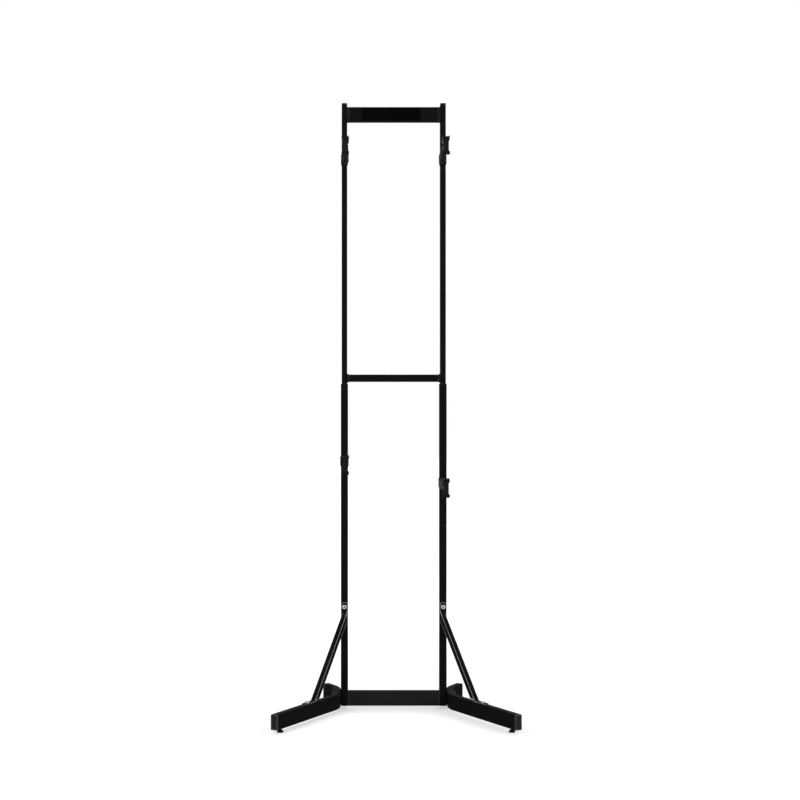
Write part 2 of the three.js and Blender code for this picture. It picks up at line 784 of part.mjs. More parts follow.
// Strap hanging from its barrel: a blade with a raised rib, and the T-shaped end.
function strap() {
  const front = strapBarrelRadius;
  const back = front - strapThickness;
  const teeTop = -strapLength + strapTeeHeight;
  const blade = new THREE.Shape();
  blade.moveTo(front, 0);
  const barrelStart = Math.acos(back / strapBarrelRadius);
  for (let step = 1; step <= saddleSteps; step += 1) {
    const angle = (2 * Math.PI - barrelStart) * step / saddleSteps;
    blade.lineTo(strapBarrelRadius * Math.cos(angle), strapBarrelRadius * Math.sin(angle));
  }
  blade.lineTo(back, teeTop - strapTeeHeight / 2);
  blade.lineTo(front, teeTop - strapTeeHeight / 2);
  blade.closePath();
  const tee = roundedRectangle(strapTeeThickness, strapTeeHeight, strapThickness / 2);
  const teeBody = acrossProfile(tee, strapTeeWidth);
  teeBody.translate(0, -back - strapTeeThickness / 2, teeTop - strapTeeHeight / 2);
  const ribTop = -strapRibInset;
  const ribLength = ribTop - teeTop + strapTeeHeight / 2;
  const ribDepth = strapRibProud + strapThickness / 2;
  const rib = new THREE.BoxGeometry(strapRibWidth, ribDepth, ribLength);
  rib.translate(0, -front - strapRibProud + ribDepth / 2, ribTop - ribLength / 2);
  return solidOf(acrossProfile(blade, strapWidth))
    .add(solidOf(teeBody))
    .add(solidOf(rib))
    .subtract(holeCutter(strapPinRadius + holePlay, strapWidth + 2 * overrun, 'x', 0, 0, 0));
}

function strapPin() {
  return solidOf(roundBar(strapPinRadius, cradleWidth, holeSides).rotateZ(quarterTurn));
}

// Assembly

const rack = new THREE.Group();
rack.position.y = (legFrontReach - legRearReach) / 2;

function mount(mesh, x, y, z) {
  mesh.position.set(x, y, z);
  rack.add(mesh);
  return mesh;
}

const sides = [
  { name: 'left', sign: -1 },
  { name: 'right', sign: 1 },
];

// Frame of tubes
const legLevel = legClearance + legHeight / 2;
const crossbarLevel = legClearance + lowerCrossbarHeight / 2;
const upperTubeFront = uprightAxisY - upperTubeDepth / 2;
const capLevel = rackHeight - capFlange;
const screwY = uprightAxisY + lowerTubeDepth / 2 + seatGap;
const screwShank = seatGap + lowerTubeWall + plugPlay + upperTubeWall + boltTail;

for (const { name, sign } of sides) {
  const x = sign * uprightAxisX;
  mount(piece(`${name}_lower_upright`, lowerUpright(), blackPowderCoat), x, uprightAxisY, legClearance);
  mount(piece(`${name}_upper_upright`, upperUpright(), blackPowderCoat), x, uprightAxisY, upperUprightBottom);
  const cap = endCap(upperTubeWidth, upperTubeDepth, upperTubeCorner, upperTubeWall);
  mount(piece(`${name}_upright_cap`, cap, blackPlastic), x, uprightAxisY, capLevel);
  const screw = buttonBolt(screwRadius, screwHeadRadius, screwHeadHeight, screwShank);
  mount(piece(`${name}_joint_screw`, screw, zincPlate), x, screwY, lowerUprightTop - screwDrop);
}

const lowBar = lowerCrossbar();
rack.add(layAcross(piece('lower_crossbar', lowBar, blackPowderCoat), crossbarAxisY(0), crossbarLevel));
const midBar = upperCrossbar(midCrossbarHeight, midFlangeHeight);
const midLevel = lowerUprightTop + midCrossbarRise + midCrossbarHeight / 2;
const upperBarAxisY = crossbarAxisY(upperTubeFront);
rack.add(layAcross(piece('mid_crossbar', midBar, blackPowderCoat), upperBarAxisY, midLevel));
const headerBar = upperCrossbar(headerHeight, headerHeight);
const headerLevel = rackHeight - headerDrop - headerHeight / 2;
rack.add(layAcross(piece('top_crossbar', headerBar, blackPowderCoat), upperBarAxisY, headerLevel));

// Legs with their caps, feet, bolts and braces
const legStack = legWidth + 2 * seatGap + lowerTubeWidth + seatGap;
const legBoltShank = legStack + flangeThickness + boltTail;
const tabBoltShank = 2 * seatGap + braceThickness + lowerTubeWall + boltTail;
const bigBolt = (shank) => buttonBolt(boltRadius, boltHeadRadius, boltHeadHeight, shank);

for (const { name, sign } of sides) {
  const handed = (body) => (sign > 0 ? body : mirroredAcrossX(body));
  mount(piece(`${name}_leg`, handed(rightLeg()), blackPowderCoat), 0, 0, legLevel);
  mount(piece(`${name}_brace`, handed(rightBrace()), blackPowderCoat), 0, 0, 0);

  const ends = [
    { name: 'front', point: frontArmPoint, run: frontRun, turn: legSplay },
    { name: 'rear', point: rearArmPoint, run: rearRun, turn: 2 * quarterTurn - legSplay },
  ];
  for (const end of ends) {
    const capBody = endCap(legWidth, legHeight, legCorner, legWall);
    const cap = piece(`${name}_leg_${end.name}_cap`, capBody, blackPlastic);
    cap.rotation.set(quarterTurn, 0, sign * end.turn, 'ZYX');
    const seat = end.point(end.run - capFlange);
    mount(cap, sign * seat.x, seat.y, legLevel);
    const foot = piece(`${name}_${end.name}_foot`, levellingFoot(), blackPlastic);
    foot.rotation.x = quarterTurn;
    const stand = end.point(end.run - footInset);
    mount(foot, sign * stand.x, stand.y, 0);
  }

  for (const [i, share] of legBoltLevelShares.entries()) {
    const bolt = piece(`${name}_leg_bolt_${i + 1}`, bigBolt(legBoltShank), zincPlate);
    bolt.rotation.z = -sign * quarterTurn;
    const x = legAxisX + legWidth / 2 + seatGap;
    mount(bolt, sign * x, crossbarAxisY(0), legClearance + share * legHeight);
  }

  const upperBolt = piece(`${name}_brace_upper_bolt`, bigBolt(tabBoltShank), zincPlate);
  upperBolt.rotation.x = 2 * quarterTurn;
  mount(upperBolt, sign * uprightAxisX, -braceThickness - 2 * seatGap, braceBoltLevel);
  const lowerBolt = piece(`${name}_brace_lower_bolt`, bigBolt(tabBoltShank), zincPlate);
  lowerBolt.rotation.x = quarterTurn;
  const tab = frontArmPoint(braceFootAlong, legClearance + legHeight + braceThickness + 2 * seatGap);
  mount(lowerBolt, sign * tab.x, tab.y, tab.z);
}

// Arms: the upper pair hang below the rack's top, the lower pair below the lower tubes' top
const upperTube = { width: upperTubeWidth, depth: upperTubeDepth, corner: upperTubeCorner };
const lowerTube = { width: lowerTubeWidth, depth: lowerTubeDepth, corner: lowerTubeCorner };
const armPlaces = [
  { name: 'upper_left', sign: -1, tube: upperTube, top: rackHeight - upperCradleDrop },
  { name: 'upper_right', sign: 1, tube: upperTube, top: rackHeight - upperCradleDrop },
  { name: 'lower_left', sign: -1, tube: lowerTube, top: lowerUprightTop - lowerLeftCradleDrop },
  { name: 'lower_right', sign: 1, tube: lowerTube, top: lowerUprightTop - lowerRightCradleDrop },
];

for (const { name, sign, tube, top } of armPlaces) {
  const group = new THREE.Group();
  group.position.set(sign * uprightAxisX, 0, top - cradleHubDrop);
  rack.add(group);
  group.add(piece(`${name}_arm`, arm(tube.width, tube.depth, tube.corner, sign), blackPowderCoat));

  const tubeBack = uprightAxisY + tube.depth / 2;
  const studLength = sleeveWall + sleeveBossLength + knobStandoff;
  const knob = piece(`${name}_clamp_knob`, clampKnob(studLength), blackPlastic);
  knob.position.y = tubeBack + seatGap;
  group.add(knob);

  const tip = new THREE.Group();
  tip.position.set(-sign * armInboard, -armReach - turningGap, 0);
  group.add(tip);
  tip.add(piece(`${name}_cradle`, cradle(), blackPlastic));
  tip.add(piece(`${name}_cradle_pad`, cradlePad(), blackRubber));

  const spindleShank = cradleHubLength + seatGap + turningGap + armEndPlate;
  const spindle = piece(`${name}_cradle_spindle`, bigBolt(spindleShank), zincPlate);
  spindle.rotation.x = 2 * quarterTurn;
  spindle.position.y = -cradleHubLength - seatGap;
  tip.add(spindle);

  const hinge = new THREE.Group();
  hinge.position.set(0, -strapPinS, strapPinZ);
  tip.add(hinge);
  hinge.add(piece(`${name}_strap`, strap(), blackRubber));
  hinge.add(piece(`${name}_strap_pin`, strapPin(), zincPlate));
}

export default rack;
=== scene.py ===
import math

import bmesh
import bpy
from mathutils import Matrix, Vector


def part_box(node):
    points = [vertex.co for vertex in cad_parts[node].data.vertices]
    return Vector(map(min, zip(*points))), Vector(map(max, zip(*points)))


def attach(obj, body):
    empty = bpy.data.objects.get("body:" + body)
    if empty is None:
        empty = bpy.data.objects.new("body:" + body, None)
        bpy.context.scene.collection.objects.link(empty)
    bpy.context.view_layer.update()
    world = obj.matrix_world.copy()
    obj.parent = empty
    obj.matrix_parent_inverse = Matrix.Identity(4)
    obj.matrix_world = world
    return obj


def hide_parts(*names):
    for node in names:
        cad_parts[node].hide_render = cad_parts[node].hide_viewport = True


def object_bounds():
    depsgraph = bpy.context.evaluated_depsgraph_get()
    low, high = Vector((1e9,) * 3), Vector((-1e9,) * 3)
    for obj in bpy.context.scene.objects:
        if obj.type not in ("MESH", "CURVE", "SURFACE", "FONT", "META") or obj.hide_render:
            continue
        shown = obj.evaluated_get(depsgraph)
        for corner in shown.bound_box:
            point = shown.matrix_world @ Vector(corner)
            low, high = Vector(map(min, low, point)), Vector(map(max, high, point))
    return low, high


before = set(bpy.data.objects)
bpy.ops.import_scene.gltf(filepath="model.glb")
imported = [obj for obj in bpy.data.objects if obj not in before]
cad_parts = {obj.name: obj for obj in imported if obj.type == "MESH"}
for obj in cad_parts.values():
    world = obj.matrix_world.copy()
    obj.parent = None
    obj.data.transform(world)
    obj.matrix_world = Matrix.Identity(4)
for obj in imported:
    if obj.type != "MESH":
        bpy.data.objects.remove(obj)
cad_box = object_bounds()
bpy.ops.object.select_all(action="DESELECT")


# Powder coat
# Every tube and strip of the rack is steel in black polyester powder, sprayed dry and baked. It
# looks even and nearly matt, with a fine orange peel. Its sharp edges are drawn paler, partly a
# thinner skin and partly a painted highlight.
COAT_DARK = "#0e0f10"
COAT_LIGHT = "#161719"
# edge tone: partly a thinner skin, partly a painted highlight
COAT_THIN_EDGE_AND_HIGHLIGHT = "#494c50"
COAT_SHINE = 0.005       # the rack hardly reflects anything, even at a low angle
COAT_ROUGHNESS = 0.5
ROUGHNESS_DRIFT = 0.06
CLOUD_SIZE = 0.060       # the sprayed coat's thickness drifts over about this far
PEEL_SIZE = 0.004        # the real peel is about 1 mm across, drawn coarser so that it shows
PEEL_HEIGHT = 0.0004
PEEL_STRENGTH = 0.12
SOFT_DETAIL = 2.0
FINE_DETAIL = 3.0
NOISE_LOW = 0.3          # nearly all of a noise pattern lies between these two
NOISE_HIGH = 0.7
EDGE_REACH = 0.0035
EDGE_START = 0.94        # cosine of the lean at which an edge starts to look paler
EDGE_FULL = 0.74
EDGE_SHARE = 0.9
RAY_SAMPLES = 8


def linear(colour):
    """An sRGB hex colour as the linear colour that a node takes."""
    shares = [int(colour[i:i + 2], 16) / 255 for i in (1, 3, 5)]
    return [s / 12.92 if s <= 0.04045 else ((s + 0.055) / 1.055) ** 2.4 for s in shares] + [1]


def add_node(tree, kind, inputs, **settings):
    """Adds a node with its settings. An input is a plain value, or the output that feeds it."""
    node = tree.nodes.new(kind)
    for name, value in settings.items():
        setattr(node, name, value)
    for socket, value in inputs.items():
        if isinstance(value, bpy.types.NodeSocket):
            tree.links.new(value, node.inputs[socket])
        else:
            node.inputs[socket].default_value = value
    return node


def new_material(name, specular=0.5, metallic=0.0):
    """An empty finish: its node tree, its shader and the place on the object."""
    material = bpy.data.materials.new(name)
    material.use_nodes = True
    tree = material.node_tree
    shader = tree.nodes["Principled BSDF"]
    shader.inputs["Specular IOR Level"].default_value = specular
    shader.inputs["Metallic"].default_value = metallic
    place = add_node(tree, "ShaderNodeTexCoord", {}).outputs["Object"]
    return material, tree, shader, place


def at_edges(tree):
    """Rises from 0 on a flat face to most of 1 on an edge, by how far a rounded normal leans."""
    rounded = add_node(tree, "ShaderNodeBevel", {"Radius": EDGE_REACH}, samples=RAY_SAMPLES)
    flat = add_node(tree, "ShaderNodeNewGeometry", {})
    likeness = add_node(tree, "ShaderNodeVectorMath", {
        0: rounded.outputs["Normal"], 1: flat.outputs["True Normal"],
    }, operation="DOT_PRODUCT")
    return add_node(tree, "ShaderNodeMapRange", {
        "Value": likeness.outputs["Value"],
        "From Min": EDGE_START, "From Max": EDGE_FULL, "To Max": EDGE_SHARE,
    }).outputs["Result"]


def wear_and_highlight_colour(tree, pattern, dark, light, edge):
    """Drifts between two tones as a pattern does, and turns on the edges to a third: a painted
    highlight, partly also wear.
    """
    skin = add_node(tree, "ShaderNodeMix", {
        "Factor": pattern, "A": linear(dark), "B": linear(light),
    }, data_type="RGBA")
    # The third tone on the edges is a painted highlight, and on the coat partly a thinner skin.
    return add_node(tree, "ShaderNodeMix", {
        "Factor": at_edges(tree), "A": skin.outputs["Result"], "B": linear(edge),
    }, data_type="RGBA").outputs["Result"]


def powder_coat(name, dark, light, edge):
    """The coat, cloudy between two tones, with a paler one on the edges: partly thin coat, partly
    painted highlight.
    """
    material, tree, shader, place = new_material(name, specular=COAT_SHINE)
    cloud = add_node(tree, "ShaderNodeTexNoise", {
        "Vector": place, "Scale": 1 / CLOUD_SIZE, "Detail": FINE_DETAIL,
    })
    peel = add_node(tree, "ShaderNodeTexNoise", {
        "Vector": place, "Scale": 1 / PEEL_SIZE, "Detail": SOFT_DETAIL,
    })
    colour = wear_and_highlight_colour(tree, cloud.outputs["Fac"], dark, light, edge)
    dull = add_node(tree, "ShaderNodeMapRange", {
        "Value": cloud.outputs["Fac"], "From Min": NOISE_LOW, "From Max": NOISE_HIGH,
        "To Min": COAT_ROUGHNESS - ROUGHNESS_DRIFT, "To Max": COAT_ROUGHNESS + ROUGHNESS_DRIFT,
    })
    bump = add_node(tree, "ShaderNodeBump", {
        "Height": peel.outputs["Fac"], "Strength": PEEL_STRENGTH, "Distance": PEEL_HEIGHT,
    })
    tree.links.new(colour, shader.inputs["Base Color"])
    tree.links.new(dull.outputs["Result"], shader.inputs["Roughness"])
    tree.links.new(bump.outputs["Normal"], shader.inputs["Normal"])
    return material


coat = powder_coat("black_powder_coat", COAT_DARK, COAT_LIGHT, COAT_THIN_EDGE_AND_HIGHLIGHT)


# Legs
# Two lengths of 50 x 25 mm rectangular steel tube lie on edge along the floor. Each is bent twice
# on a mandrel, so that its long end splays to the front and its short end to the rear.
LEG_WIDTH = 0.025
LEG_WALL = 0.0015
LEG_CORNER = 0.004
LEG_SPLAY = math.radians(31)
BEND_RADIUS = 0.110
BEND_STEPS = 12
FRONT_BEND_Y = 0.0665
REAR_BEND_Y = 0.1875
CORNER_STEPS = 5
SIDES = {"left": -1, "right": 1}
SMOOTH_BELOW = math.radians(32)
SAME_PLACE = 0.00001     # points nearer than this are one
SQUARE_ON = 0.9999       # share of its normal by which a cut end faces along its run


def pick(kind, test):
    """In edit mode, selects only the verts, edges or faces that pass a test."""
    mesh_data = bpy.context.edit_object.data
    mode = {"verts": "VERT", "edges": "EDGE", "faces": "FACE"}[kind]
    bpy.ops.mesh.select_mode(type=mode)
    bpy.ops.mesh.select_all(action="DESELECT")
    mesh = bmesh.from_edit_mesh(mesh_data)
    for element in getattr(mesh, kind):
        if test(element):
            element.select_set(True)
    bmesh.update_edit_mesh(mesh_data)


def only(piece):
    """Makes a piece the one that the next operators work on."""
    bpy.ops.object.select_all(action="DESELECT")
    piece.select_set(True)
    bpy.context.view_layer.objects.active = piece


def edit(piece):
    """Opens a piece's mesh for the operators that shape it."""
    only(piece)
    bpy.ops.object.mode_set(mode="EDIT")


def close_edit():
    """Goes back from the mesh to the piece."""
    bpy.ops.object.mode_set(mode="OBJECT")


def named(name):
    """Names the primitive that was just added."""
    piece = bpy.context.active_object
    piece.name = name
    piece.data.name = name
    return piece


def settle(piece):
    """Moves a piece's place, turn and size into its mesh."""
    only(piece)
    bpy.ops.object.transform_apply(location=True, rotation=True, scale=True)
    return piece


def push(value):
    """Extrudes what is selected by a vector."""
    bpy.ops.mesh.extrude_region_move(TRANSFORM_OT_translate={"value": value})


def merge_doubles():
    """Makes one point of points that lie together."""
    bpy.ops.mesh.select_all(action="SELECT")
    bpy.ops.mesh.remove_doubles(threshold=SAME_PLACE)


def face_outwards():
    """Turns every face of the mesh to its outside."""
    bpy.ops.mesh.select_all(action="SELECT")
    bpy.ops.mesh.normals_make_consistent(inside=False)


def modify(piece, kind, **settings):
    """Adds one modifier and applies it."""
    only(piece)
    modifier = piece.modifiers.new(kind, kind)
    for name, value in settings.items():
        setattr(modifier, name, value)
    bpy.ops.object.modifier_apply(modifier=modifier.name)


def smooth(piece):
    """Shades a piece smooth, but for its sharp edges."""
    only(piece)
    bpy.ops.object.shade_smooth_by_angle(angle=SMOOTH_BELOW)
    return piece


def finish_piece(piece, body, finish, slot, *nodes):
    """Gives a piece its finish, the body that it moves with and the nodes that it stands for."""
    piece.data.materials.clear()
    piece.data.materials.append(finish)
    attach(piece, body)
    if nodes:
        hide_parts(*nodes)


def leg_axis_x(side):
    """Where the middle of a leg's straight middle run lies across."""
    low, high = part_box(f"{side}_leg")
    return SIDES[side] * (min(abs(low.x), abs(high.x)) + LEG_WIDTH / 2)


def leg_end(side, end):
    """Middle of a leg's cut end, the way that it faces, and how far the bend's corner lies back."""
    low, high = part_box(f"{side}_leg")
    overhang = math.sin(LEG_SPLAY) * LEG_WIDTH / 2
    if end == "front":
        forward, bend_y = -1, FRONT_BEND_Y
        reach = bend_y - low.y - overhang
    else:
        forward, bend_y = 1, REAR_BEND_Y
        reach = high.y - overhang - bend_y
    facing = Vector((SIDES[side] * math.sin(LEG_SPLAY), forward * math.cos(LEG_SPLAY), 0))
    run = reach / math.cos(LEG_SPLAY)
    return Vector((leg_axis_x(side), bend_y, (low.z + high.z) / 2)) + facing * run, facing, run


def leg(side):
    """Draws the tube's outline at its front end, then extrudes and spins it to its rear end."""
    low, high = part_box(f"{side}_leg")
    sign = SIDES[side]
    start, front_facing, front_run = leg_end(side, "front")
    _, rear_facing, rear_run = leg_end(side, "rear")
    turn = sign * LEG_SPLAY
    setback = BEND_RADIUS * math.tan(LEG_SPLAY / 2)

    def bend(centre):
        """Spins the outline round a bend. With no window open, spin turns the other way."""
        bpy.ops.mesh.spin(steps=BEND_STEPS, angle=turn, center=centre, axis=(0, 0, 1))

    def cut_end(face):
        """True for the two faces that would close the tube's ends."""
        out = max(face.normal.dot(front_facing), face.normal.dot(rear_facing))
        return out > SQUARE_ON and len(face.verts) > 4

    bpy.ops.mesh.primitive_plane_add(size=1, location=start, rotation=(math.pi / 2, 0, turn))
    piece = named(f"{side}_leg_tube")
    piece.scale = (LEG_WIDTH, high.z - low.z, 1)
    settle(piece)
    edit(piece)
    bpy.ops.mesh.select_all(action="SELECT")
    bpy.ops.mesh.bevel(offset=LEG_CORNER, segments=CORNER_STEPS, affect="VERTICES")
    straight = -front_facing * (front_run - setback)
    push(straight)
    bend(start + straight + sign * BEND_RADIUS * Vector((-front_facing.y, front_facing.x, 0)))
    push((0, REAR_BEND_Y - FRONT_BEND_Y - 2 * setback, 0))
    bend((leg_axis_x(side) + sign * BEND_RADIUS, REAR_BEND_Y - setback, start.z))
    push(rear_facing * (rear_run - setback))
    merge_doubles()
    face_outwards()
    pick("faces", cut_end)
    bpy.ops.mesh.delete(type="ONLY_FACE")
    close_edit()
    modify(piece, "SOLIDIFY", thickness=LEG_WALL, offset=-1, use_even_offset=True)
    finish_piece(smooth(piece), "frame", coat, "powder_coat", f"{side}_leg")


for side in SIDES:
    leg(side)


# End caps
# Caps of black polythene, a little greyer than the steel, close the open ends of the tubes. Each is
# one moulding, a flange with a soft rim and a shallow dish, on a hollow plug pushed into the tube.
CAP_DARK = "#191a1c"
CAP_LIGHT = "#232427"
# pale painted highlight on the caps' rims
CAP_RIM_HIGHLIGHT = "#c9cbce"
CAP_ROUGHNESS = 0.5
MOULDED_SHINE = 0.06
MOULDED_CLOUD_SIZE = 0.020
GRAIN_SIZE = 0.0025      # the moulded grain is about 0.5 mm, drawn coarser so that it shows
GRAIN_HEIGHT = 0.0003
GRAIN_STRENGTH = 0.25
CAP_FLANGE = 0.003
CAP_RIM = 0.0012
CAP_RIM_STEPS = 4
CAP_BORDER = 0.0026
CAP_DISH = 0.0005
CAP_PLUG = 0.014
CAP_PLUG_WALL = 0.002
SEAT_GAP = 0.0003
PARALLEL = 0.99          # share of its length by which an edge runs along an axis
FACING = 0.9             # share of its normal by which a face looks along an axis
FLAT = 0.999


def moulded_finish(name, dark, light, edge, roughness):
    """A plastic from a spark-eroded mould: fine grained and dull, its crests and edges painted paler as
    highlights.
    """
    material, tree, shader, place = new_material(name, specular=MOULDED_SHINE)
    grain = add_node(tree, "ShaderNodeTexNoise", {
        "Vector": place, "Scale": 1 / GRAIN_SIZE, "Detail": FINE_DETAIL,
    })
    cloud = add_node(tree, "ShaderNodeTexNoise", {
        "Vector": place, "Scale": 1 / MOULDED_CLOUD_SIZE, "Detail": SOFT_DETAIL,
    })
    colour = wear_and_highlight_colour(tree, cloud.outputs["Fac"], dark, light, edge)
    dull = add_node(tree, "ShaderNodeMapRange", {
        "Value": grain.outputs["Fac"], "From Min": NOISE_LOW, "From Max": NOISE_HIGH,
        "To Min": roughness + ROUGHNESS_DRIFT, "To Max": roughness - ROUGHNESS_DRIFT,
    })
    bump = add_node(tree, "ShaderNodeBump", {
        "Height": grain.outputs["Fac"], "Strength": GRAIN_STRENGTH, "Distance": GRAIN_HEIGHT,
    })
    tree.links.new(colour, shader.inputs["Base Color"])
    tree.links.new(dull.outputs["Result"], shader.inputs["Roughness"])
    tree.links.new(bump.outputs["Normal"], shader.inputs["Normal"])
    return material


polythene = moulded_finish("black_polythene", CAP_DARK, CAP_LIGHT, CAP_RIM_HIGHLIGHT, CAP_ROUGHNESS)


def block(name, low, high):
    """A cube stretched between two corners."""
    low, high = Vector(low), Vector(high)
    bpy.ops.mesh.primitive_cube_add(size=1, location=(low + high) / 2)
    piece = named(name)
    piece.scale = high - low
    return settle(piece)


def along(edge, axis):
    """True for an edge that runs along one axis."""
    run = edge.verts[1].co - edge.verts[0].co
    return abs(run[axis]) > PARALLEL * run.length


def end_cap(name, width, height, corner, wall):
    """Cap at the origin, its flange facing +Z and its plug below."""
    piece = block(name, (-width / 2, -height / 2, 0), (width / 2, height / 2, CAP_FLANGE))
    edit(piece)
    pick("edges", lambda e: along(e, 2))
    bpy.ops.mesh.bevel(offset=corner, segments=CORNER_STEPS, affect="EDGES")
    pick("faces", lambda f: f.normal.z > FACING)
    bpy.ops.mesh.bevel(offset=CAP_RIM, segments=CAP_RIM_STEPS, affect="EDGES")
    pick("faces", lambda f: f.normal.z > FLAT)
    bpy.ops.mesh.inset(thickness=CAP_BORDER - CAP_RIM)
    bpy.ops.mesh.inset(thickness=CAP_DISH, depth=-CAP_DISH)
    pick("faces", lambda f: f.normal.z < -FACING)
    bpy.ops.mesh.inset(thickness=wall + SEAT_GAP)
    push((0, 0, -CAP_PLUG))
    bpy.ops.mesh.inset(thickness=CAP_PLUG_WALL)
    push((0, 0, CAP_PLUG))
    close_edit()
    return smooth(piece)


def put(piece, place, turn=(0, 0, 0)):
    """Turns a piece that was made at the origin, and moves it to its place."""
    piece.rotation_euler = turn
    piece.location = place
    return settle(piece)


for side, sign in SIDES.items():
    for end, turn in (("front", LEG_SPLAY), ("rear", math.pi - LEG_SPLAY)):
        node = f"{side}_leg_{end}_cap"
        low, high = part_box(f"{side}_leg")
        middle, facing, _ = leg_end(side, end)
        piece = end_cap(f"{node}_moulding", LEG_WIDTH, high.z - low.z, LEG_CORNER, LEG_WALL)
        put(piece, middle + facing * SEAT_GAP, (math.pi / 2, 0, sign * turn))
        finish_piece(piece, "frame", polythene, "moulded_plastic", node)


# Levelling feet
# Each leg stands on two feet, a black polythene pad with a sloping shoulder, moulded round the
# head of a zinc-plated M8 stud that screws into the leg's underside.
ZINC = "#b4b8bd"
ZINC_SHADE = "#8d9196"
# painted shade for the recesses of plated parts
RECESS_SHADE = "#101112"
PLATE_BLOOM = 0.006
PLATE_DETAIL = 4.0
PLATE_SMOOTH = 0.24
PLATE_DULL = 0.38
RECESS_REACH = 0.004
RECESS_FULL_SHADE = 0.35      # share of open air around a point below which it is all painted shade
RECESS_NO_SHADE = 0.85
FOOT_RADIUS = 0.011
FOOT_RIM = 0.002
FOOT_HEIGHT = 0.008
FOOT_NECK = 0.0065
FOOT_ROUND = 0.0005
FOOT_SHARP = 25          # degrees
SOFT_STEPS = 2
ROUND_STEPS = 3
STUD_RADIUS = 0.004
THREAD_PITCH = 0.00125
THREAD_ROOT_SHARE = 0.86
ROUND_SIDES = 48


def plated_finish(name, light, shade):
    """Plated steel: a fine crystalline sheen, uneven in tone and shine, with painted shade in the
    recesses.
    """
    material, tree, shader, place = new_material(name, metallic=1.0)
    bloom = add_node(tree, "ShaderNodeTexNoise", {
        "Vector": place, "Scale": 1 / PLATE_BLOOM, "Detail": PLATE_DETAIL,
    })
    skin = add_node(tree, "ShaderNodeMix", {
        "Factor": bloom.outputs["Fac"], "A": linear(shade), "B": linear(light),
    }, data_type="RGBA")
    open_air = add_node(tree, "ShaderNodeAmbientOcclusion", {
        "Distance": RECESS_REACH,
    }, samples=RAY_SAMPLES)
    # Painted shade: the less open air around a point, the nearer its colour goes to the dark recess
    # tone.
    bare = add_node(tree, "ShaderNodeMapRange", {
        "Value": open_air.outputs["AO"], "From Min": RECESS_FULL_SHADE, "From Max": RECESS_NO_SHADE,
    })
    colour = add_node(tree, "ShaderNodeMix", {
        "Factor": bare.outputs["Result"], "A": linear(RECESS_SHADE), "B": skin.outputs["Result"],
    }, data_type="RGBA")
    dull = add_node(tree, "ShaderNodeMapRange", {
        "Value": bloom.outputs["Fac"], "From Min": NOISE_LOW, "From Max": NOISE_HIGH,
        "To Min": PLATE_SMOOTH, "To Max": PLATE_DULL,
    })
    tree.links.new(colour.outputs["Result"], shader.inputs["Base Color"])
    tree.links.new(dull.outputs["Result"], shader.inputs["Roughness"])
    return material


zinc = plated_finish("zinc_plate", ZINC, ZINC_SHADE)


def rod(name, radius, length, sides=ROUND_SIDES):
    """A cylinder that stands on the origin along +Z."""
    bpy.ops.mesh.primitive_cylinder_add(
        vertices=sides, radius=radius, depth=length, location=(0, 0, length / 2))
    return settle(named(name))


def widen(share):
    """Scales what is selected across the Z axis."""
    bpy.ops.transform.resize(value=(share, share, 1), center_override=(0, 0, 0))


def soften(piece, width, segments=SOFT_STEPS, sharper_than=40):
    """Rounds the edges that are sharper than an angle in degrees, and shades the rest smooth."""
    modify(piece, "BEVEL", width=width, segments=segments, limit_method="ANGLE",
           angle_limit=math.radians(sharper_than), use_clamp_overlap=True)
    return smooth(piece)


def foot_pad(name):
    """Pad on the origin, its shoulder drawn in to the neck."""
    piece = rod(name, FOOT_RADIUS, FOOT_RIM)
    edit(piece)
    pick("faces", lambda f: f.normal.z > FACING)
    push((0, 0, FOOT_HEIGHT - FOOT_RIM))
    widen(FOOT_NECK / FOOT_RADIUS)
    close_edit()
    return soften(piece, FOOT_ROUND, ROUND_STEPS, FOOT_SHARP)


def ridged_rod(name, radius, waist_share, sides, start, step, steps):
    """Rod along Z that swells to its radius and shrinks to its waist, step by step."""
    bpy.ops.mesh.primitive_circle_add(
        vertices=sides, radius=radius * waist_share, fill_type="NGON", location=(0, 0, start))
    piece = settle(named(name))
    edit(piece)
    bpy.ops.mesh.select_all(action="SELECT")
    for count in range(steps):
        push((0, 0, step))
        widen(waist_share if count % 2 else 1 / waist_share)
    face_outwards()
    close_edit()
    return piece


def threaded_stud(name, start, end):
    """Stud along Z with ridges as a coarse thread."""
    turns = round((end - start) / THREAD_PITCH)
    return ridged_rod(
        name, STUD_RADIUS, THREAD_ROOT_SHARE, ROUND_SIDES, start, THREAD_PITCH / 2, 2 * turns)


for side in SIDES:
    for end in ("front", "rear"):
        node = f"{side}_{end}_foot"
        low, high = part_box(node)
        place = ((low.x + high.x) / 2, (low.y + high.y) / 2, low.z)
        pad = put(foot_pad(f"{node}_pad"), place)
        finish_piece(pad, node, polythene, "moulded_plastic", node)
        stud = put(threaded_stud(f"{node}_stud", FOOT_HEIGHT - SEAT_GAP, high.z - low.z), place)
        finish_piece(stud, node, zinc, "zinc_hardware")


# Uprights
# Each upright is two rectangular tubes: a heavy lower one, and a lighter upper one that plugs
# 60 mm deep into it, so the upright steps in above the joint.
UPRIGHTS = {
    "lower_upright": {"corner": 0.0035, "wall": 0.00225},
    "upper_upright": {"corner": 0.003, "wall": 0.0015},
}


def steel_tube(name, low, high, axis, corner, wall):
    """Rectangular tube between two corners of space, open at both ends of an axis."""
    piece = block(name, low, high)
    edit(piece)
    pick("edges", lambda e: along(e, axis))
    bpy.ops.mesh.bevel(offset=corner, segments=CORNER_STEPS, affect="EDGES")
    pick("faces", lambda f: abs(f.normal[axis]) > FACING)
    bpy.ops.mesh.delete(type="ONLY_FACE")
    close_edit()
    modify(piece, "SOLIDIFY", thickness=wall, offset=-1, use_even_offset=True)
    return smooth(piece)


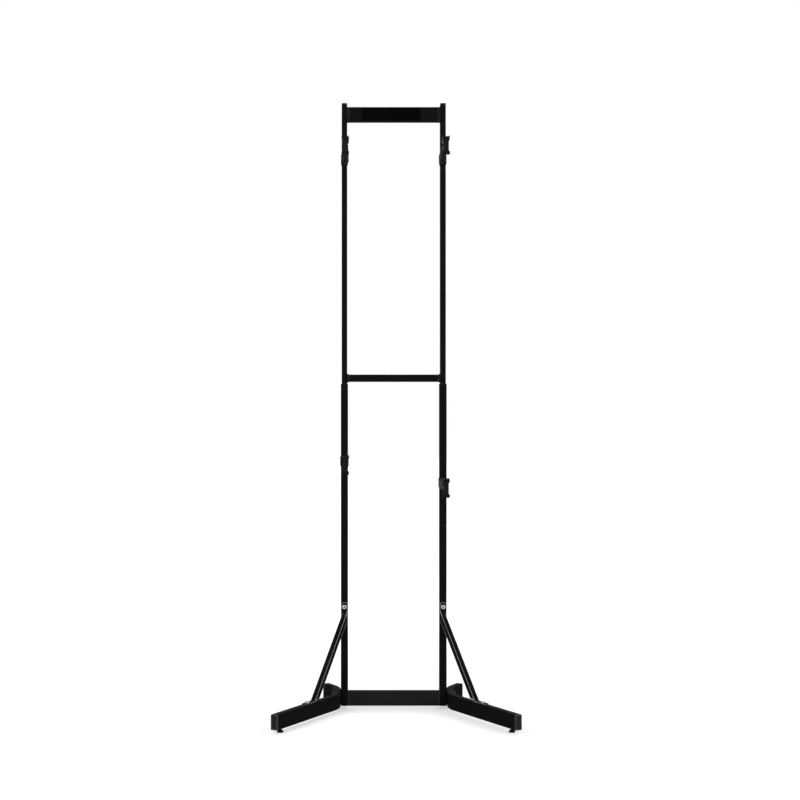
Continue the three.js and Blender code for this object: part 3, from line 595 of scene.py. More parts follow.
for side in SIDES:
    for tube, form in UPRIGHTS.items():
        node = f"{side}_{tube}"
        low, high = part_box(node)
        piece = steel_tube(f"{node}_tube", low, high, 2, form["corner"], form["wall"])
        finish_piece(piece, "frame", coat, "powder_coat", node)
    node = f"{side}_upright_cap"
    low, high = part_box(node)
    form = UPRIGHTS["upper_upright"]
    piece = end_cap(f"{node}_moulding", high.x - low.x, high.y - low.y, form["corner"], form["wall"])
    put(piece, ((low.x + high.x) / 2, (low.y + high.y) / 2, high.z - CAP_FLANGE))
    finish_piece(piece, "frame", polythene, "moulded_plastic", node)


# Bolts
# Button-headed socket bolts of cold-headed steel, with a hexagon pressed into the dome. The large
# ones hold legs, braces and cradles, and small ones lock the plugged tubes. Bright zinc covers
# them, but for the bolts of the legs and cradles, which are blackened.
BLACK_ZINC = "#1c1d1f"
BLACK_ZINC_SHADE = "#121314"
BIG_BOLT = {"head": 0.0078, "height": 0.0046, "socket": 0.0034, "shank": 0.004}
SMALL_SCREW = {"head": 0.005, "height": 0.003, "socket": 0.0017, "shank": 0.0025}
DOME_SHARE = 0.62
DOME_STEPS = 6
SOCKET_SHARE = 0.85
SOCKET_SIDES = 6

black_zinc = plated_finish("black_zinc_plate", BLACK_ZINC, BLACK_ZINC_SHADE)


def fuse(piece, other, operation="UNION"):
    """Joins another piece to this one, or cuts it away, and removes the other."""
    modify(piece, "BOOLEAN", object=other, operation=operation, solver="EXACT")
    bpy.data.objects.remove(other, do_unlink=True)


def button_bolt(name, form, length):
    """Bolt at the origin, its head standing on z = 0 and its shank below."""
    piece = rod(name, form["head"], form["height"])
    edit(piece)
    pick("faces", lambda f: f.normal.z > FACING)
    bpy.ops.mesh.bevel(offset=DOME_SHARE * form["height"], segments=DOME_STEPS, affect="EDGES")
    pick("faces", lambda f: f.normal.z < -FACING)
    bpy.ops.mesh.inset(thickness=form["head"] - form["shank"])
    push((0, 0, -length))
    close_edit()
    cutter_length = 2 * SOCKET_SHARE * form["height"]
    cutter = rod("socket_cutter", form["socket"], cutter_length, sides=SOCKET_SIDES)
    put(cutter, (0, 0, (1 - SOCKET_SHARE) * form["height"]))
    fuse(piece, cutter, "DIFFERENCE")
    return smooth(piece)


def bolt_into(node, body, form, axis, way, finish=zinc):
    """Puts a bolt where a node's box says, its head at the end of an axis that way points to."""
    low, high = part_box(node)
    place = (low + high) / 2
    outer = high[axis] if way > 0 else low[axis]
    place[axis] = outer - way * form["height"]
    facing = Vector((0, 0, 0))
    facing[axis] = way
    piece = button_bolt(f"{node}_fastener", form, high[axis] - low[axis] - form["height"])
    put(piece, place, facing.to_track_quat("Z", "Y").to_euler())
    finish_piece(piece, body, finish, "zinc_hardware", node)


for side, sign in SIDES.items():
    bolt_into(f"{side}_leg_bolt_1", "frame", BIG_BOLT, 0, sign, black_zinc)
    bolt_into(f"{side}_leg_bolt_2", "frame", BIG_BOLT, 0, sign, black_zinc)
    bolt_into(f"{side}_brace_upper_bolt", "frame", BIG_BOLT, 1, -1)
    bolt_into(f"{side}_brace_lower_bolt", "frame", BIG_BOLT, 2, 1)
    bolt_into(f"{side}_joint_screw", "frame", SMALL_SCREW, 1, 1)


# Braces
# Each brace is a length of 18 x 18 x 3 mm angle iron. Near both ends its inner flange is cut away,
# and what is left is bent, along a slanting line against the upright and straight onto the leg.
BRACE_THICKNESS = 0.003
BRACE_FLANGE = 0.018
BRACE_TAB = 0.038
BRACE_NOTCH = 0.008
BRACE_NOTCH_RUN = 0.010
BRACE_BEND_ALONG = 0.148
BRACE_END_ALONG = 0.204
BRACE_EDGE = 0.0003
BRACE_SHARP = 60
FOLD_ROUND = 0.0015
FOLD_STEPS = 3
TAB_CORNER = 0.005
# The angle iron's crease and edges get a pale painted highlight, brighter than on the other steel.
IRON_CREASE_HIGHLIGHT = "#c3c5c8"

iron_coat = powder_coat("black_powder_coat_on_angle_iron", COAT_DARK, COAT_LIGHT, IRON_CREASE_HIGHLIGHT)


def on_points(points):
    """A test for a vert that lies on one of some points."""
    return lambda v: min((v.co - point).length for point in points) < SAME_PLACE


def between_points(points):
    """A test for an edge whose two ends lie on some points."""
    return lambda e: all(on_points(points)(v) for v in e.verts)


def brace(side):
    """Lays a strip out row by row from tab to foot, folds a flange back from it and thickens it."""
    sign = SIDES[side]
    bolt_low, bolt_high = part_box(f"{side}_brace_upper_bolt")
    forward, up = Vector((0, -1, 0)), Vector((0, 0, 1))
    half = BRACE_FLANGE / 2
    _, facing, _ = leg_end(side, "front")
    leg_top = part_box(f"{side}_leg")[1].z
    leg_bend = Vector((leg_axis_x(side), FRONT_BEND_Y, leg_top + SEAT_GAP + BRACE_THICKNESS))
    tab_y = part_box(f"{side}_lower_upright")[0].y - SEAT_GAP - BRACE_THICKNESS
    tab_top = Vector(((bolt_low.x + bolt_high.x) / 2, tab_y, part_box(f"{side}_brace")[1].z))
    upper_bend = tab_top - up * BRACE_TAB
    lower_bend = leg_bend + facing * BRACE_BEND_ALONG
    foot_end = leg_bend + facing * BRACE_END_ALONG
    run = (lower_bend - upper_bend).normalized()
    outward = sign * up.cross(run).normalized()
    face = (up - run * run.z).normalized()
    fold = face.cross(forward)
    slant = fold * half / fold.dot(outward)
    square = outward * half
    tab_half = Vector((half / outward.x, 0, 0))
    flange_start = BRACE_NOTCH + BRACE_NOTCH_RUN
    rows = [
        (tab_top, tab_half), (upper_bend, slant),
        (upper_bend + run * BRACE_NOTCH, square), (upper_bend + run * flange_start, square),
        (lower_bend - run * flange_start, square), (lower_bend - run * BRACE_NOTCH, square),
        (lower_bend, square), (foot_end, square),
    ]

    last = len(rows) - 1
    bpy.ops.mesh.primitive_grid_add(x_subdivisions=1, y_subdivisions=last, size=2)
    piece = named(f"{side}_brace_angle")
    for vertex in piece.data.vertices:
        middle, reach = rows[round((vertex.co.y + 1) / 2 * last)]
        vertex.co = middle + reach * round(vertex.co.x)

    # The flange runs from notch to notch along the crease, and slopes to nothing at both ends.
    edit(piece)
    crease = [middle - reach for middle, reach in rows[2:-2]]
    inward = -face * BRACE_FLANGE
    pick("edges", between_points(crease))
    push(inward)
    pick("verts", on_points((crease[0] + inward, crease[-1] + inward)))
    bpy.ops.transform.translate(value=-inward)
    merge_doubles()

    # The folds by the tab and the foot are rounded, and so are the corners of both ends.
    for middle, reach in (rows[1], rows[-2]):
        pick("edges", between_points((middle - reach, middle + reach)))
        bpy.ops.mesh.bevel(offset=FOLD_ROUND, segments=FOLD_STEPS, affect="EDGES")
    pick("verts", on_points(
        [middle + way * reach for middle, reach in (rows[0], rows[-1]) for way in (-1, 1)]))
    bpy.ops.mesh.bevel(offset=TAB_CORNER, segments=CORNER_STEPS, affect="VERTICES")
    face_outwards()
    close_edit()
    tab_face = max(piece.data.polygons, key=lambda f: f.center.z)
    if tab_face.normal.y > 0:
        piece.data.flip_normals()
    modify(piece, "SOLIDIFY", thickness=BRACE_THICKNESS, offset=-1, use_even_offset=True)
    soften(piece, BRACE_EDGE, sharper_than=BRACE_SHARP)
    finish_piece(piece, "frame", iron_coat, "powder_coat", f"{side}_brace")


for side in SIDES:
    brace(side)


# Crossbars
# Three rectangular tubes join the uprights. Each has a steel plate welded on both ends, and the
# beads show as a rippled line between tube and plate. The header carries a bare vinyl label.
CROSSBARS = {"lower_crossbar": 0.050, "mid_crossbar": 0.025, "top_crossbar": 0.050}
CROSSBAR_DEPTH = 0.025
CROSSBAR_CORNER = 0.003
CROSSBAR_WALL = 0.0015
PLATE_THICKNESS = 0.004
PLATE_RIM = 0.0004
BEAD_RADIUS = 0.0016
BEAD_RIPPLE = 0.0022
BEAD_WAIST_SHARE = 0.86
BEAD_SIDES = 12
SHEENED_DARK = "#1c1d1e"     # painted sheen: the lowest crossbar's coat is drawn greyer
SHEENED_LIGHT = "#272829"
# brighter painted highlight on the lowest crossbar's edges
SHEENED_EDGE_HIGHLIGHT = "#85888c"
LABEL_LEFT = -0.108
LABEL_RIGHT = 0.092
LABEL_THICKNESS = 0.0004
LABEL_CORNER = 0.002
VINYL = "#040405"
VINYL_SHINE = 0.02
VINYL_ROUGHNESS = 0.16
RIPPLE_SIZE = 0.030
RIPPLE_HEIGHT = 0.0006
RIPPLE_STRENGTH = 0.1
RIPPLE_DETAIL = 1.0

sheened_coat = powder_coat("black_powder_coat_with_painted_sheen", SHEENED_DARK, SHEENED_LIGHT, SHEENED_EDGE_HIGHLIGHT)


def weld_bead(name, start, end):
    """Rod of weld metal between two points, with the ripples that the torch leaves."""
    start, end = Vector(start), Vector(end)
    run = end - start
    halves = 2 * round(run.length / BEAD_RIPPLE)
    piece = ridged_rod(
        name, BEAD_RADIUS, BEAD_WAIST_SHARE, BEAD_SIDES, 0, run.length / halves, halves)
    return smooth(put(piece, start, run.to_track_quat("Z", "Y").to_euler()))


def join(pieces, name):
    """Makes one piece of several that are welded together."""
    bpy.ops.object.select_all(action="DESELECT")
    for piece in pieces:
        piece.select_set(True)
    bpy.context.view_layer.objects.active = pieces[0]
    bpy.ops.object.join()
    return named(name)


def rounded_bar(name, low, high, axis, corner, rim):
    """Solid bar between two corners of space, its long edges round and its ends softened."""
    piece = block(name, low, high)
    edit(piece)
    pick("edges", lambda e: along(e, axis))
    bpy.ops.mesh.bevel(offset=corner, segments=CORNER_STEPS, affect="EDGES")
    pick("faces", lambda f: abs(f.normal[axis]) > FACING)
    bpy.ops.mesh.bevel(offset=rim, segments=SOFT_STEPS, affect="EDGES")
    close_edit()
    return smooth(piece)


def crossbar(node, height):
    """Tube between two plates, with beads where the plates are deeper than the tube."""
    low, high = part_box(node)
    middle = (low + high) / 2
    half = Vector(((high.x - low.x) / 2 - PLATE_THICKNESS, CROSSBAR_DEPTH / 2, height / 2))
    tube_low, tube_high = middle - half, middle + half
    parts = [steel_tube(node, tube_low, tube_high, 0, CROSSBAR_CORNER, CROSSBAR_WALL)]
    for start, end in ((low.x, low.x + PLATE_THICKNESS), (high.x - PLATE_THICKNESS, high.x)):
        corners = (start, low.y, low.z), (end, high.y, high.z)
        parts.append(rounded_bar("plate", *corners, 0, CROSSBAR_CORNER, PLATE_RIM))
    if tube_low.y > low.y:
        bottom, top = tube_low.z + CROSSBAR_CORNER, tube_high.z - CROSSBAR_CORNER
        for x in (tube_low.x + BEAD_RADIUS / 2, tube_high.x - BEAD_RADIUS / 2):
            for y in (tube_low.y, tube_high.y):
                parts.append(weld_bead("bead", (x, y, bottom), (x, y, top)))
    piece = join(parts, f"{node}_weldment")
    # The lowest crossbar takes a lighter copy of the coat, a painted sheen, with brighter painted
    # highlights on its edges.
    finish = sheened_coat if node == "lower_crossbar" else coat
    finish_piece(piece, "frame", finish, "powder_coat", node)


for node, height in CROSSBARS.items():
    crossbar(node, height)


def vinyl_finish():
    """Black gloss vinyl film, rolled on: flatter and darker than the coat, with a slight ripple."""
    material, tree, shader, place = new_material("black_vinyl", specular=VINYL_SHINE)
    ripple = add_node(tree, "ShaderNodeTexNoise", {
        "Vector": place, "Scale": 1 / RIPPLE_SIZE, "Detail": RIPPLE_DETAIL,
    })
    bump = add_node(tree, "ShaderNodeBump", {
        "Height": ripple.outputs["Fac"], "Strength": RIPPLE_STRENGTH, "Distance": RIPPLE_HEIGHT,
    })
    shader.inputs["Base Color"].default_value = linear(VINYL)
    shader.inputs["Roughness"].default_value = VINYL_ROUGHNESS
    tree.links.new(bump.outputs["Normal"], shader.inputs["Normal"])
    return material


low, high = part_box("top_crossbar")
face_y = (low.y + high.y - CROSSBAR_DEPTH) / 2
label = rounded_bar(
    "header_label",
    (LABEL_LEFT, face_y - LABEL_THICKNESS, low.z + CROSSBAR_CORNER),
    (LABEL_RIGHT, face_y, high.z - CROSSBAR_CORNER),
    1, LABEL_CORNER, LABEL_THICKNESS / 4,
)
finish_piece(label, "frame", vinyl_finish(), "moulded_plastic")


# Arms
# An arm is a short sleeve of rectangular tube that slides on the upright, with a lighter tube
# welded to its front and a round threaded boss welded to its back for the clamp knob.
ARMS = {
    "upper_left": ("left_upper_upright", -1),
    "upper_right": ("right_upper_upright", 1),
    "lower_left": ("left_lower_upright", -1),
    "lower_right": ("right_lower_upright", 1),
}
SLEEVE_WALL = 0.002
ARM_WIDTH = 0.018
ARM_HEIGHT = 0.025
ARM_CORNER = 0.003
ARM_RIM = 0.0006
ARM_INBOARD = 0.006
BOSS_RADIUS = 0.008
BOSS_LENGTH = 0.008
BOSS_RIM = 0.0007


def arm(name, upright, sign):
    """Welds a sleeve, its arm and its boss together round an upright."""
    low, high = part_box(f"{name}_arm")
    tube_low, tube_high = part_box(upright)
    hub_z = (low.z + high.z) / 2
    axis_x = (tube_low.x + tube_high.x) / 2
    margin = Vector((SEAT_GAP + SLEEVE_WALL, SEAT_GAP + SLEEVE_WALL, 0))
    sleeve_low = Vector((tube_low.x, tube_low.y, low.z)) - margin
    sleeve_high = Vector((tube_high.x, tube_high.y, high.z)) + margin
    corner = UPRIGHTS[upright.split("_", 1)[1]]["corner"] + SLEEVE_WALL
    sleeve = steel_tube(f"{name}_arm", sleeve_low, sleeve_high, 2, corner, SLEEVE_WALL)

    arm_x = axis_x - sign * ARM_INBOARD
    left, right = arm_x - ARM_WIDTH / 2, arm_x + ARM_WIDTH / 2
    bottom, top = hub_z - ARM_HEIGHT / 2, hub_z + ARM_HEIGHT / 2
    root_y = sleeve_low.y + SLEEVE_WALL / 2
    bar = rounded_bar("arm_tube", (left, low.y, bottom), (right, root_y, top), 1, ARM_CORNER, ARM_RIM)

    boss = rod("boss", BOSS_RADIUS, BOSS_LENGTH + SLEEVE_WALL / 2)
    put(boss, (axis_x, high.y - BOSS_LENGTH - SLEEVE_WALL / 2, hub_z), (-math.pi / 2, 0, 0))
    soften(boss, BOSS_RIM)
    parts = [sleeve, bar, boss]
    weld_y = sleeve_low.y - BEAD_RADIUS / 2
    reach = ARM_WIDTH / 2 - ARM_CORNER - BEAD_RADIUS
    for z in (bottom, top):
        parts.append(weld_bead("bead", (arm_x - reach, weld_y, z), (arm_x + reach, weld_y, z)))
    outer_x = right if sign > 0 else left
    reach = ARM_HEIGHT / 2 - ARM_CORNER
    parts.append(weld_bead("bead", (outer_x, weld_y, hub_z - reach), (outer_x, weld_y, hub_z + reach)))
    bpy.ops.mesh.primitive_torus_add(
        major_segments=ROUND_SIDES, minor_segments=BEAD_SIDES, major_radius=BOSS_RADIUS,
        minor_radius=BEAD_RADIUS, location=(axis_x, sleeve_high.y, hub_z), rotation=(math.pi / 2, 0, 0))
    parts.append(smooth(settle(named("boss_bead"))))
    piece = join(parts, f"{name}_arm_weldment")
    finish_piece(piece, f"{name}_arm", coat, "powder_coat", f"{name}_arm")


for name, (upright, sign) in ARMS.items():
    arm(name, upright, sign)


# Clamp knobs
# A small five-lobed black nylon knob sits behind each sleeve, moulded over the head of a zinc stud
# that screws through the boss and presses on the upright. Turning it free lets the arm slide.
KNOB_RADIUS = 0.012
KNOB_LOBES = 5
KNOB_LOBE_DEPTH = 0.0016
KNOB_THICKNESS = 0.014
KNOB_CROWN = 0.0021
KNOB_CROWN_STEPS = 6
KNOB_SKIRT = 0.0014
KNOB_SKIRT_STEPS = 4
KNOB_BORDER = 0.0010
KNOB_DISH = 0.0006
KNOB_COLLAR_RADIUS = 0.008
KNOB_COLLAR = 0.004
KNOB_COLLAR_EDGE = 0.0006
KNOB_SIDES = 100
NYLON_DARK = "#0e0f10"
NYLON_LIGHT = "#18191a"
# painted highlight on the nylon parts' edges
NYLON_EDGE_HIGHLIGHT = "#36383b"
NYLON_ROUGHNESS = 0.55

nylon = moulded_finish("black_nylon", NYLON_DARK, NYLON_LIGHT, NYLON_EDGE_HIGHLIGHT, NYLON_ROUGHNESS)


def knob_head(name, stud_length):
    """Lobed head and collar above a stud of a given length, all along +Z from the origin."""
    piece = rod(name, KNOB_RADIUS, KNOB_THICKNESS, sides=KNOB_SIDES)
    for vertex in piece.data.vertices:
        angle = math.atan2(vertex.co.y, vertex.co.x)
        share = 1 - KNOB_LOBE_DEPTH / KNOB_RADIUS * (1 - math.cos(KNOB_LOBES * angle)) / 2
        vertex.co.x *= share
        vertex.co.y *= share
    put(piece, (0, 0, stud_length + KNOB_COLLAR))
    edit(piece)
    pick("faces", lambda f: f.normal.z > FACING)
    bpy.ops.mesh.bevel(offset=KNOB_CROWN, segments=KNOB_CROWN_STEPS, affect="EDGES")
    pick("faces", lambda f: f.normal.z < -FACING)
    bpy.ops.mesh.bevel(offset=KNOB_SKIRT, segments=KNOB_SKIRT_STEPS, affect="EDGES")
    pick("faces", lambda f: f.normal.z > FLAT and len(f.verts) > 4)
    bpy.ops.mesh.inset(thickness=KNOB_BORDER)
    bpy.ops.mesh.inset(thickness=KNOB_DISH, depth=-KNOB_DISH)
    close_edit()
    collar = rod("collar", KNOB_COLLAR_RADIUS, KNOB_COLLAR + KNOB_SKIRT)
    put(collar, (0, 0, stud_length))
    soften(collar, KNOB_COLLAR_EDGE)
    return smooth(join([smooth(piece), collar], name))


for name, (upright, _) in ARMS.items():
    node = f"{name}_clamp_knob"
    low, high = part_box(node)
    arm_low, arm_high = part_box(f"{name}_arm")
    upright_low, upright_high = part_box(upright)
    stud_length = high.y - low.y - KNOB_THICKNESS - KNOB_COLLAR
    place = ((upright_low.x + upright_high.x) / 2, low.y, (arm_low.z + arm_high.z) / 2)
    head = put(knob_head(f"{node}_head", stud_length), place, (-math.pi / 2, 0, 0))
    finish_piece(head, node, nylon, "moulded_plastic", node)
    stud = put(threaded_stud(f"{node}_stud", 0, stud_length), place, (-math.pi / 2, 0, 0))
    finish_piece(stud, node, zinc, "zinc_hardware")


# Cradles
# Each arm ends in a black nylon cradle that tilts on its spindle: a round hub, a neck, and a
# T-shaped top with a saddle between two lips. Its edges are rounded, as a moulding's are.
CRADLE_ROUND = 0.0009
CRADLE_SHARP = 32
FLAT_WITHIN = math.radians(1)


def cradle(name):
    """Copies the cradle's node, makes whole faces of its triangles and rounds its edges."""
    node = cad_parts[f"{name}_cradle"]
    piece = bpy.data.objects.new(f"{name}_cradle_moulding", node.data.copy())
    bpy.context.collection.objects.link(piece)
    edit(piece)
    merge_doubles()
    bpy.ops.mesh.dissolve_limited(angle_limit=FLAT_WITHIN)
    close_edit()
    soften(piece, CRADLE_ROUND, ROUND_STEPS, CRADLE_SHARP)
    finish_piece(piece, f"{name}_cradle", nylon, "moulded_plastic", f"{name}_cradle")


for name in ARMS:
    cradle(name)
    bolt_into(f"{name}_cradle_spindle", f"{name}_arm", BIG_BOLT, 1, -1, black_zinc)


# Cradle pads
# A strip of black rubber lies in each saddle, moulded with ribs from side to side, so that it
# grips a load without marking it.
RUBBER_DARK = "#0e0e0f"
RUBBER_LIGHT = "#17181a"
RUBBER_EDGE = "#3a3b3e"
RUBBER_SHINE = 0.05
RUBBER_ROUGHNESS = 0.78
RUBBER_DRIFT = 0.08
BLOOM_SIZE = 0.012
PORE_SIZE = 0.0015       # real pores are too fine to show, so they are drawn coarser
PORE_HEIGHT = 0.0002
PORE_STRENGTH = 0.2
RUBBER_SHARP = 50
SADDLE_RADIUS = 0.0244
SADDLE_DEPTH = 0.0122
PAD_THICKNESS = 0.003
PAD_WIDTH = 0.021
PAD_RIBS = 7
PAD_RIB_DEPTH = 0.0013
PAD_ROUND = 0.0003
PAD_SPAN = math.radians(45)
STEPS_PER_RIB = 6


def rubber_finish():
    """Moulded natural rubber: nearly black and dull, with a faint grey bloom, and paler on its edges.
    """
    material, tree, shader, place = new_material("black_rubber", specular=RUBBER_SHINE)
    bloom = add_node(tree, "ShaderNodeTexNoise", {
        "Vector": place, "Scale": 1 / BLOOM_SIZE, "Detail": FINE_DETAIL,
    })
    pores = add_node(tree, "ShaderNodeTexNoise", {
        "Vector": place, "Scale": 1 / PORE_SIZE, "Detail": SOFT_DETAIL,
    })
    colour = wear_and_highlight_colour(tree, bloom.outputs["Fac"], RUBBER_DARK, RUBBER_LIGHT, RUBBER_EDGE)
    dull = add_node(tree, "ShaderNodeMapRange", {
        "Value": bloom.outputs["Fac"], "From Min": NOISE_LOW, "From Max": NOISE_HIGH,
        "To Min": RUBBER_ROUGHNESS - RUBBER_DRIFT, "To Max": RUBBER_ROUGHNESS + RUBBER_DRIFT,
    })
    bump = add_node(tree, "ShaderNodeBump", {
        "Height": pores.outputs["Fac"], "Strength": PORE_STRENGTH, "Distance": PORE_HEIGHT,
    })
    tree.links.new(colour, shader.inputs["Base Color"])
    tree.links.new(dull.outputs["Result"], shader.inputs["Roughness"])
    tree.links.new(bump.outputs["Normal"], shader.inputs["Normal"])
    return material


rubber = rubber_finish()


def cradle_pad(name, centre):
    """Ribbed strip bent round the saddle's axis, which runs along X through a centre."""
    floor_radius = SADDLE_RADIUS + PAD_RIB_DEPTH
    skin = PAD_THICKNESS - PAD_RIB_DEPTH
    steps = PAD_RIBS * STEPS_PER_RIB
    radius = floor_radius + skin / 2
    start = Vector((0, -radius * math.sin(PAD_SPAN), -radius * math.cos(PAD_SPAN)))

    def on_a_rib(face):
        """True for the faces of the upper side, but for the steps that part the ribs."""
        middle = face.calc_center_median()
        on_a_side = abs(middle.x) > PAD_WIDTH / 4
        if on_a_side or math.hypot(middle.y, middle.z) > floor_radius + skin / 4:
            return False
        angle = math.atan2(middle.y, -middle.z) + PAD_SPAN
        step = int(angle / (2 * PAD_SPAN) * steps) % STEPS_PER_RIB
        return 0 < step < STEPS_PER_RIB - 1

    bpy.ops.mesh.primitive_plane_add(size=1, location=start, rotation=(math.pi / 2 - PAD_SPAN, 0, 0))
    piece = named(name)
    piece.scale = (PAD_WIDTH, skin, 1)
    settle(piece)
    edit(piece)
    bpy.ops.mesh.select_all(action="SELECT")
    bpy.ops.mesh.spin(steps=steps, angle=-2 * PAD_SPAN, center=(0, 0, 0), axis=(1, 0, 0))
    merge_doubles()
    face_outwards()
    pick("faces", on_a_rib)
    bpy.ops.mesh.extrude_region_shrink_fatten(TRANSFORM_OT_shrink_fatten={"value": PAD_RIB_DEPTH})
    close_edit()
    soften(piece, PAD_ROUND, sharper_than=RUBBER_SHARP)
    return put(piece, centre)


for name in ARMS:
    low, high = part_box(f"{name}_cradle")
    pad_low, pad_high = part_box(f"{name}_cradle_pad")
    axis_z = high.z - SADDLE_DEPTH + SADDLE_RADIUS
    centre = ((low.x + high.x) / 2, (pad_low.y + pad_high.y) / 2, axis_z)
    pad = cradle_pad(f"{name}_pad_strip", centre)
    finish_piece(pad, f"{name}_cradle", rubber, "rubber", f"{name}_cradle_pad")


# Straps
# A black rubber strap hangs from a pin in the front lip of each cradle. It is moulded in one
# piece: a barrel round the pin, a ribbed blade, and a thick T-shaped end to pull and to hook.
STRAP_WIDTH = 0.0174
STRAP_THICKNESS = 0.0035
STRAP_BARREL = 0.004
STRAP_LENGTH = 0.056
STRAP_ROUND = 0.0004
TEE_WIDTH = 0.024
TEE_HEIGHT = 0.012
TEE_THICKNESS = 0.007
TEE_ROUND = 0.0026
TEE_RIM = 0.0014
RIB_WIDTH = 0.006
RIB_PROUD = 0.0012
RIB_INSET = 0.009
RIB_ROUND = 0.0009
PIN_RADIUS = 0.0015
PIN_SIDES = 24
PIN_ROUND = 0.0003
FACE_STEP = 0.0002       # keeps the faces of fused shapes out of each other's planes


def strap(name):
    """Strap hanging from the origin, its front towards -Y."""
    half = STRAP_WIDTH / 2
    front, back = -STRAP_BARREL + FACE_STEP, -STRAP_BARREL + STRAP_THICKNESS
    tee_top = TEE_HEIGHT - STRAP_LENGTH
    tee_middle = tee_top - TEE_HEIGHT / 2
    piece = block(name, (-half, front, tee_middle), (half, back, 0))
    tee = rounded_bar(
        "tee",
        (-TEE_WIDTH / 2, back - TEE_THICKNESS, -STRAP_LENGTH),
        (TEE_WIDTH / 2, back - FACE_STEP, tee_top),
        0, TEE_ROUND, TEE_RIM,
    )
    rib = rounded_bar(
        "rib",
        (-RIB_WIDTH / 2, front - RIB_PROUD, tee_middle),
        (RIB_WIDTH / 2, back - 2 * FACE_STEP, -RIB_INSET),
        2, RIB_ROUND, RIB_ROUND / 2,
    )
    barrel = rod("barrel", STRAP_BARREL, STRAP_WIDTH - 2 * FACE_STEP)
    put(barrel, (FACE_STEP - half, 0, 0), (0, math.pi / 2, 0))
    bore = rod("bore", PIN_RADIUS + SEAT_GAP, 2 * STRAP_WIDTH, sides=PIN_SIDES)
    put(bore, (-STRAP_WIDTH, 0, 0), (0, math.pi / 2, 0))
    for other in (barrel, tee, rib):
        fuse(piece, other)
    fuse(piece, bore, "DIFFERENCE")
    return soften(piece, STRAP_ROUND, sharper_than=RUBBER_SHARP)


for name in ARMS:
    pin_low, pin_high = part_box(f"{name}_strap_pin")
    hinge = (pin_low + pin_high) / 2
    piece = put(strap(f"{name}_strap_moulding"), hinge)
    finish_piece(piece, f"{name}_strap", rubber, "rubber", f"{name}_strap")
    pin = rod(f"{name}_strap_rivet", PIN_RADIUS, pin_high.x - pin_low.x, sides=PIN_SIDES)
    put(pin, (pin_low.x, hinge.y, hinge.z), (0, math.pi / 2, 0))
    soften(pin, PIN_ROUND)
    finish_piece(pin, f"{name}_cradle", zinc, "zinc_hardware", f"{name}_strap_pin")


# Studio
# The rack stands on a plain white floor, in soft light from both sides and from above.
# The camera looks along +Y from five metres, a little left of the rack's middle.
WHITE = (1, 1, 1, 1)
AMBIENT = 0.45
FLOOR_SIZE = 40
FLOOR_COLOUR = "#cfcfcf"
FLOOR_ROUGHNESS = 0.9
FLOOR_LIFT = 0.5         # glow of the floor under the rack, which softens the shadow
FLOOR_PLAIN_FROM = 0.8
FLOOR_PLAIN_TO = 2.4
LAMPS = {
    "key": {"place": (-2.4, -2.6, 3.2), "size": (1.4, 2.2), "power": 80},
    "fill": {"place": (2.8, -2.0, 1.8), "size": (1.2, 2.4), "power": 45},
    "rim": {"place": (1.2, 2.8, 2.8), "size": (2.4, 1.2), "power": 50},
}
AIM = Vector((0, 0, 1.0))
CAMERA_PLACE = (-0.110, -4.8885, 1.066)
CAMERA_TURN = (math.pi / 2, 0, 0)
LENS = 66.18
LENS_SHIFT_X = 0.0482
LENS_SHIFT_Y = -0.005


def seen(tree):
    """1 where a ray comes from the camera, a shine or through a clear thing, and otherwise 0."""
    rays = add_node(tree, "ShaderNodeLightPath", {})
    shine = add_node(tree, "ShaderNodeMath", {
        0: rays.outputs["Is Glossy Ray"], 1: rays.outputs["Is Transmission Ray"],
    }, operation="MAXIMUM")
    either = add_node(tree, "ShaderNodeMath", {
        0: rays.outputs["Is Camera Ray"], 1: shine.outputs["Value"],
    }, operation="MAXIMUM")
    return either.outputs["Value"]


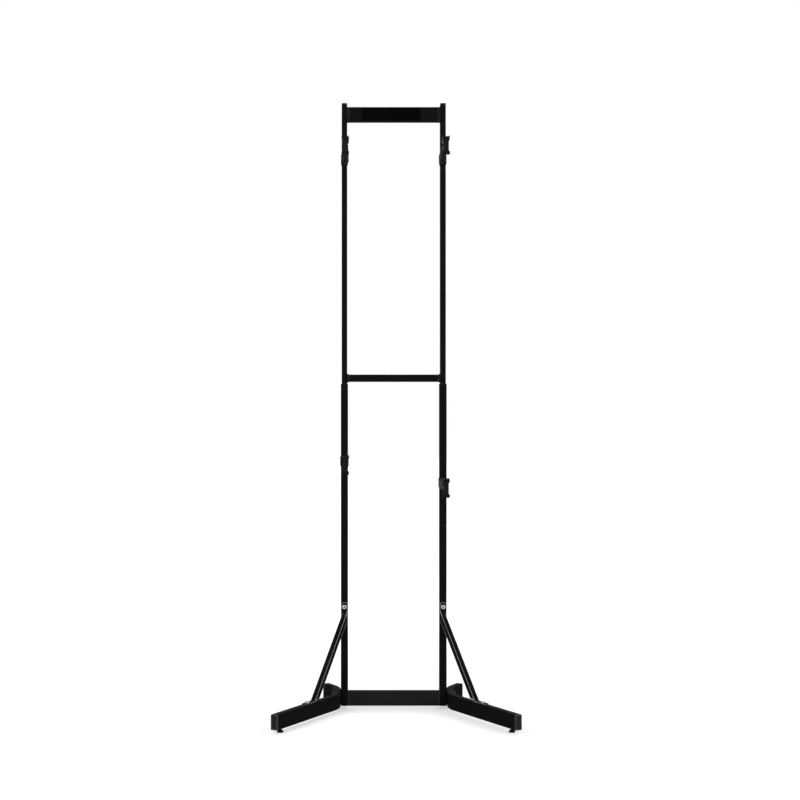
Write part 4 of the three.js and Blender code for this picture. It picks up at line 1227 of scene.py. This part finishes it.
def floor_finish():
    """White paper sweep. It keeps the rack's shadow, and goes plain white some way off."""
    material, tree, shader, place = new_material("white_sweep", specular=0.0)
    away = add_node(tree, "ShaderNodeVectorMath", {0: place}, operation="LENGTH")
    plain = add_node(tree, "ShaderNodeMapRange", {
        "Value": away.outputs["Value"], "From Min": FLOOR_PLAIN_FROM, "From Max": FLOOR_PLAIN_TO,
        "To Min": FLOOR_LIFT, "To Max": 1.0,
    }, interpolation_type="SMOOTHSTEP")
    glow = add_node(tree, "ShaderNodeMath", {
        0: plain.outputs["Result"], 1: seen(tree),
    }, operation="MULTIPLY")
    shader.inputs["Base Color"].default_value = linear(FLOOR_COLOUR)
    shader.inputs["Roughness"].default_value = FLOOR_ROUGHNESS
    shader.inputs["Emission Color"].default_value = WHITE
    tree.links.new(glow.outputs["Value"], shader.inputs["Emission Strength"])
    return material


bpy.ops.mesh.primitive_plane_add(size=FLOOR_SIZE, location=(0, 0, 0))
floor = named("floor")
floor.data.materials.append(floor_finish())

world = bpy.data.worlds.new("studio")
bpy.context.scene.world = world
world.use_nodes = True
sky = world.node_tree.nodes["Background"]
sky.inputs["Color"].default_value = WHITE
level = add_node(world.node_tree, "ShaderNodeMapRange", {
    "Value": seen(world.node_tree), "To Min": AMBIENT, "To Max": 1.0,
})
world.node_tree.links.new(level.outputs["Result"], sky.inputs["Strength"])

for name, lamp in LAMPS.items():
    light = bpy.data.lights.new(name, "AREA")
    light.shape = "RECTANGLE"
    light.size, light.size_y = lamp["size"]
    light.energy = lamp["power"]
    holder = bpy.data.objects.new(name, light)
    bpy.context.collection.objects.link(holder)
    holder.location = lamp["place"]
    holder.rotation_euler = (AIM - holder.location).to_track_quat("-Z", "Y").to_euler()

camera_data = bpy.data.cameras.new("camera")
camera = bpy.data.objects.new("camera", camera_data)
bpy.context.collection.objects.link(camera)
camera.location = CAMERA_PLACE
camera.rotation_euler = CAMERA_TURN
camera_data.lens = LENS
camera_data.shift_x = LENS_SHIFT_X
camera_data.shift_y = LENS_SHIFT_Y
bpy.context.scene.camera = camera
bpy.context.scene.view_settings.view_transform = "Standard"

low, high = cad_box
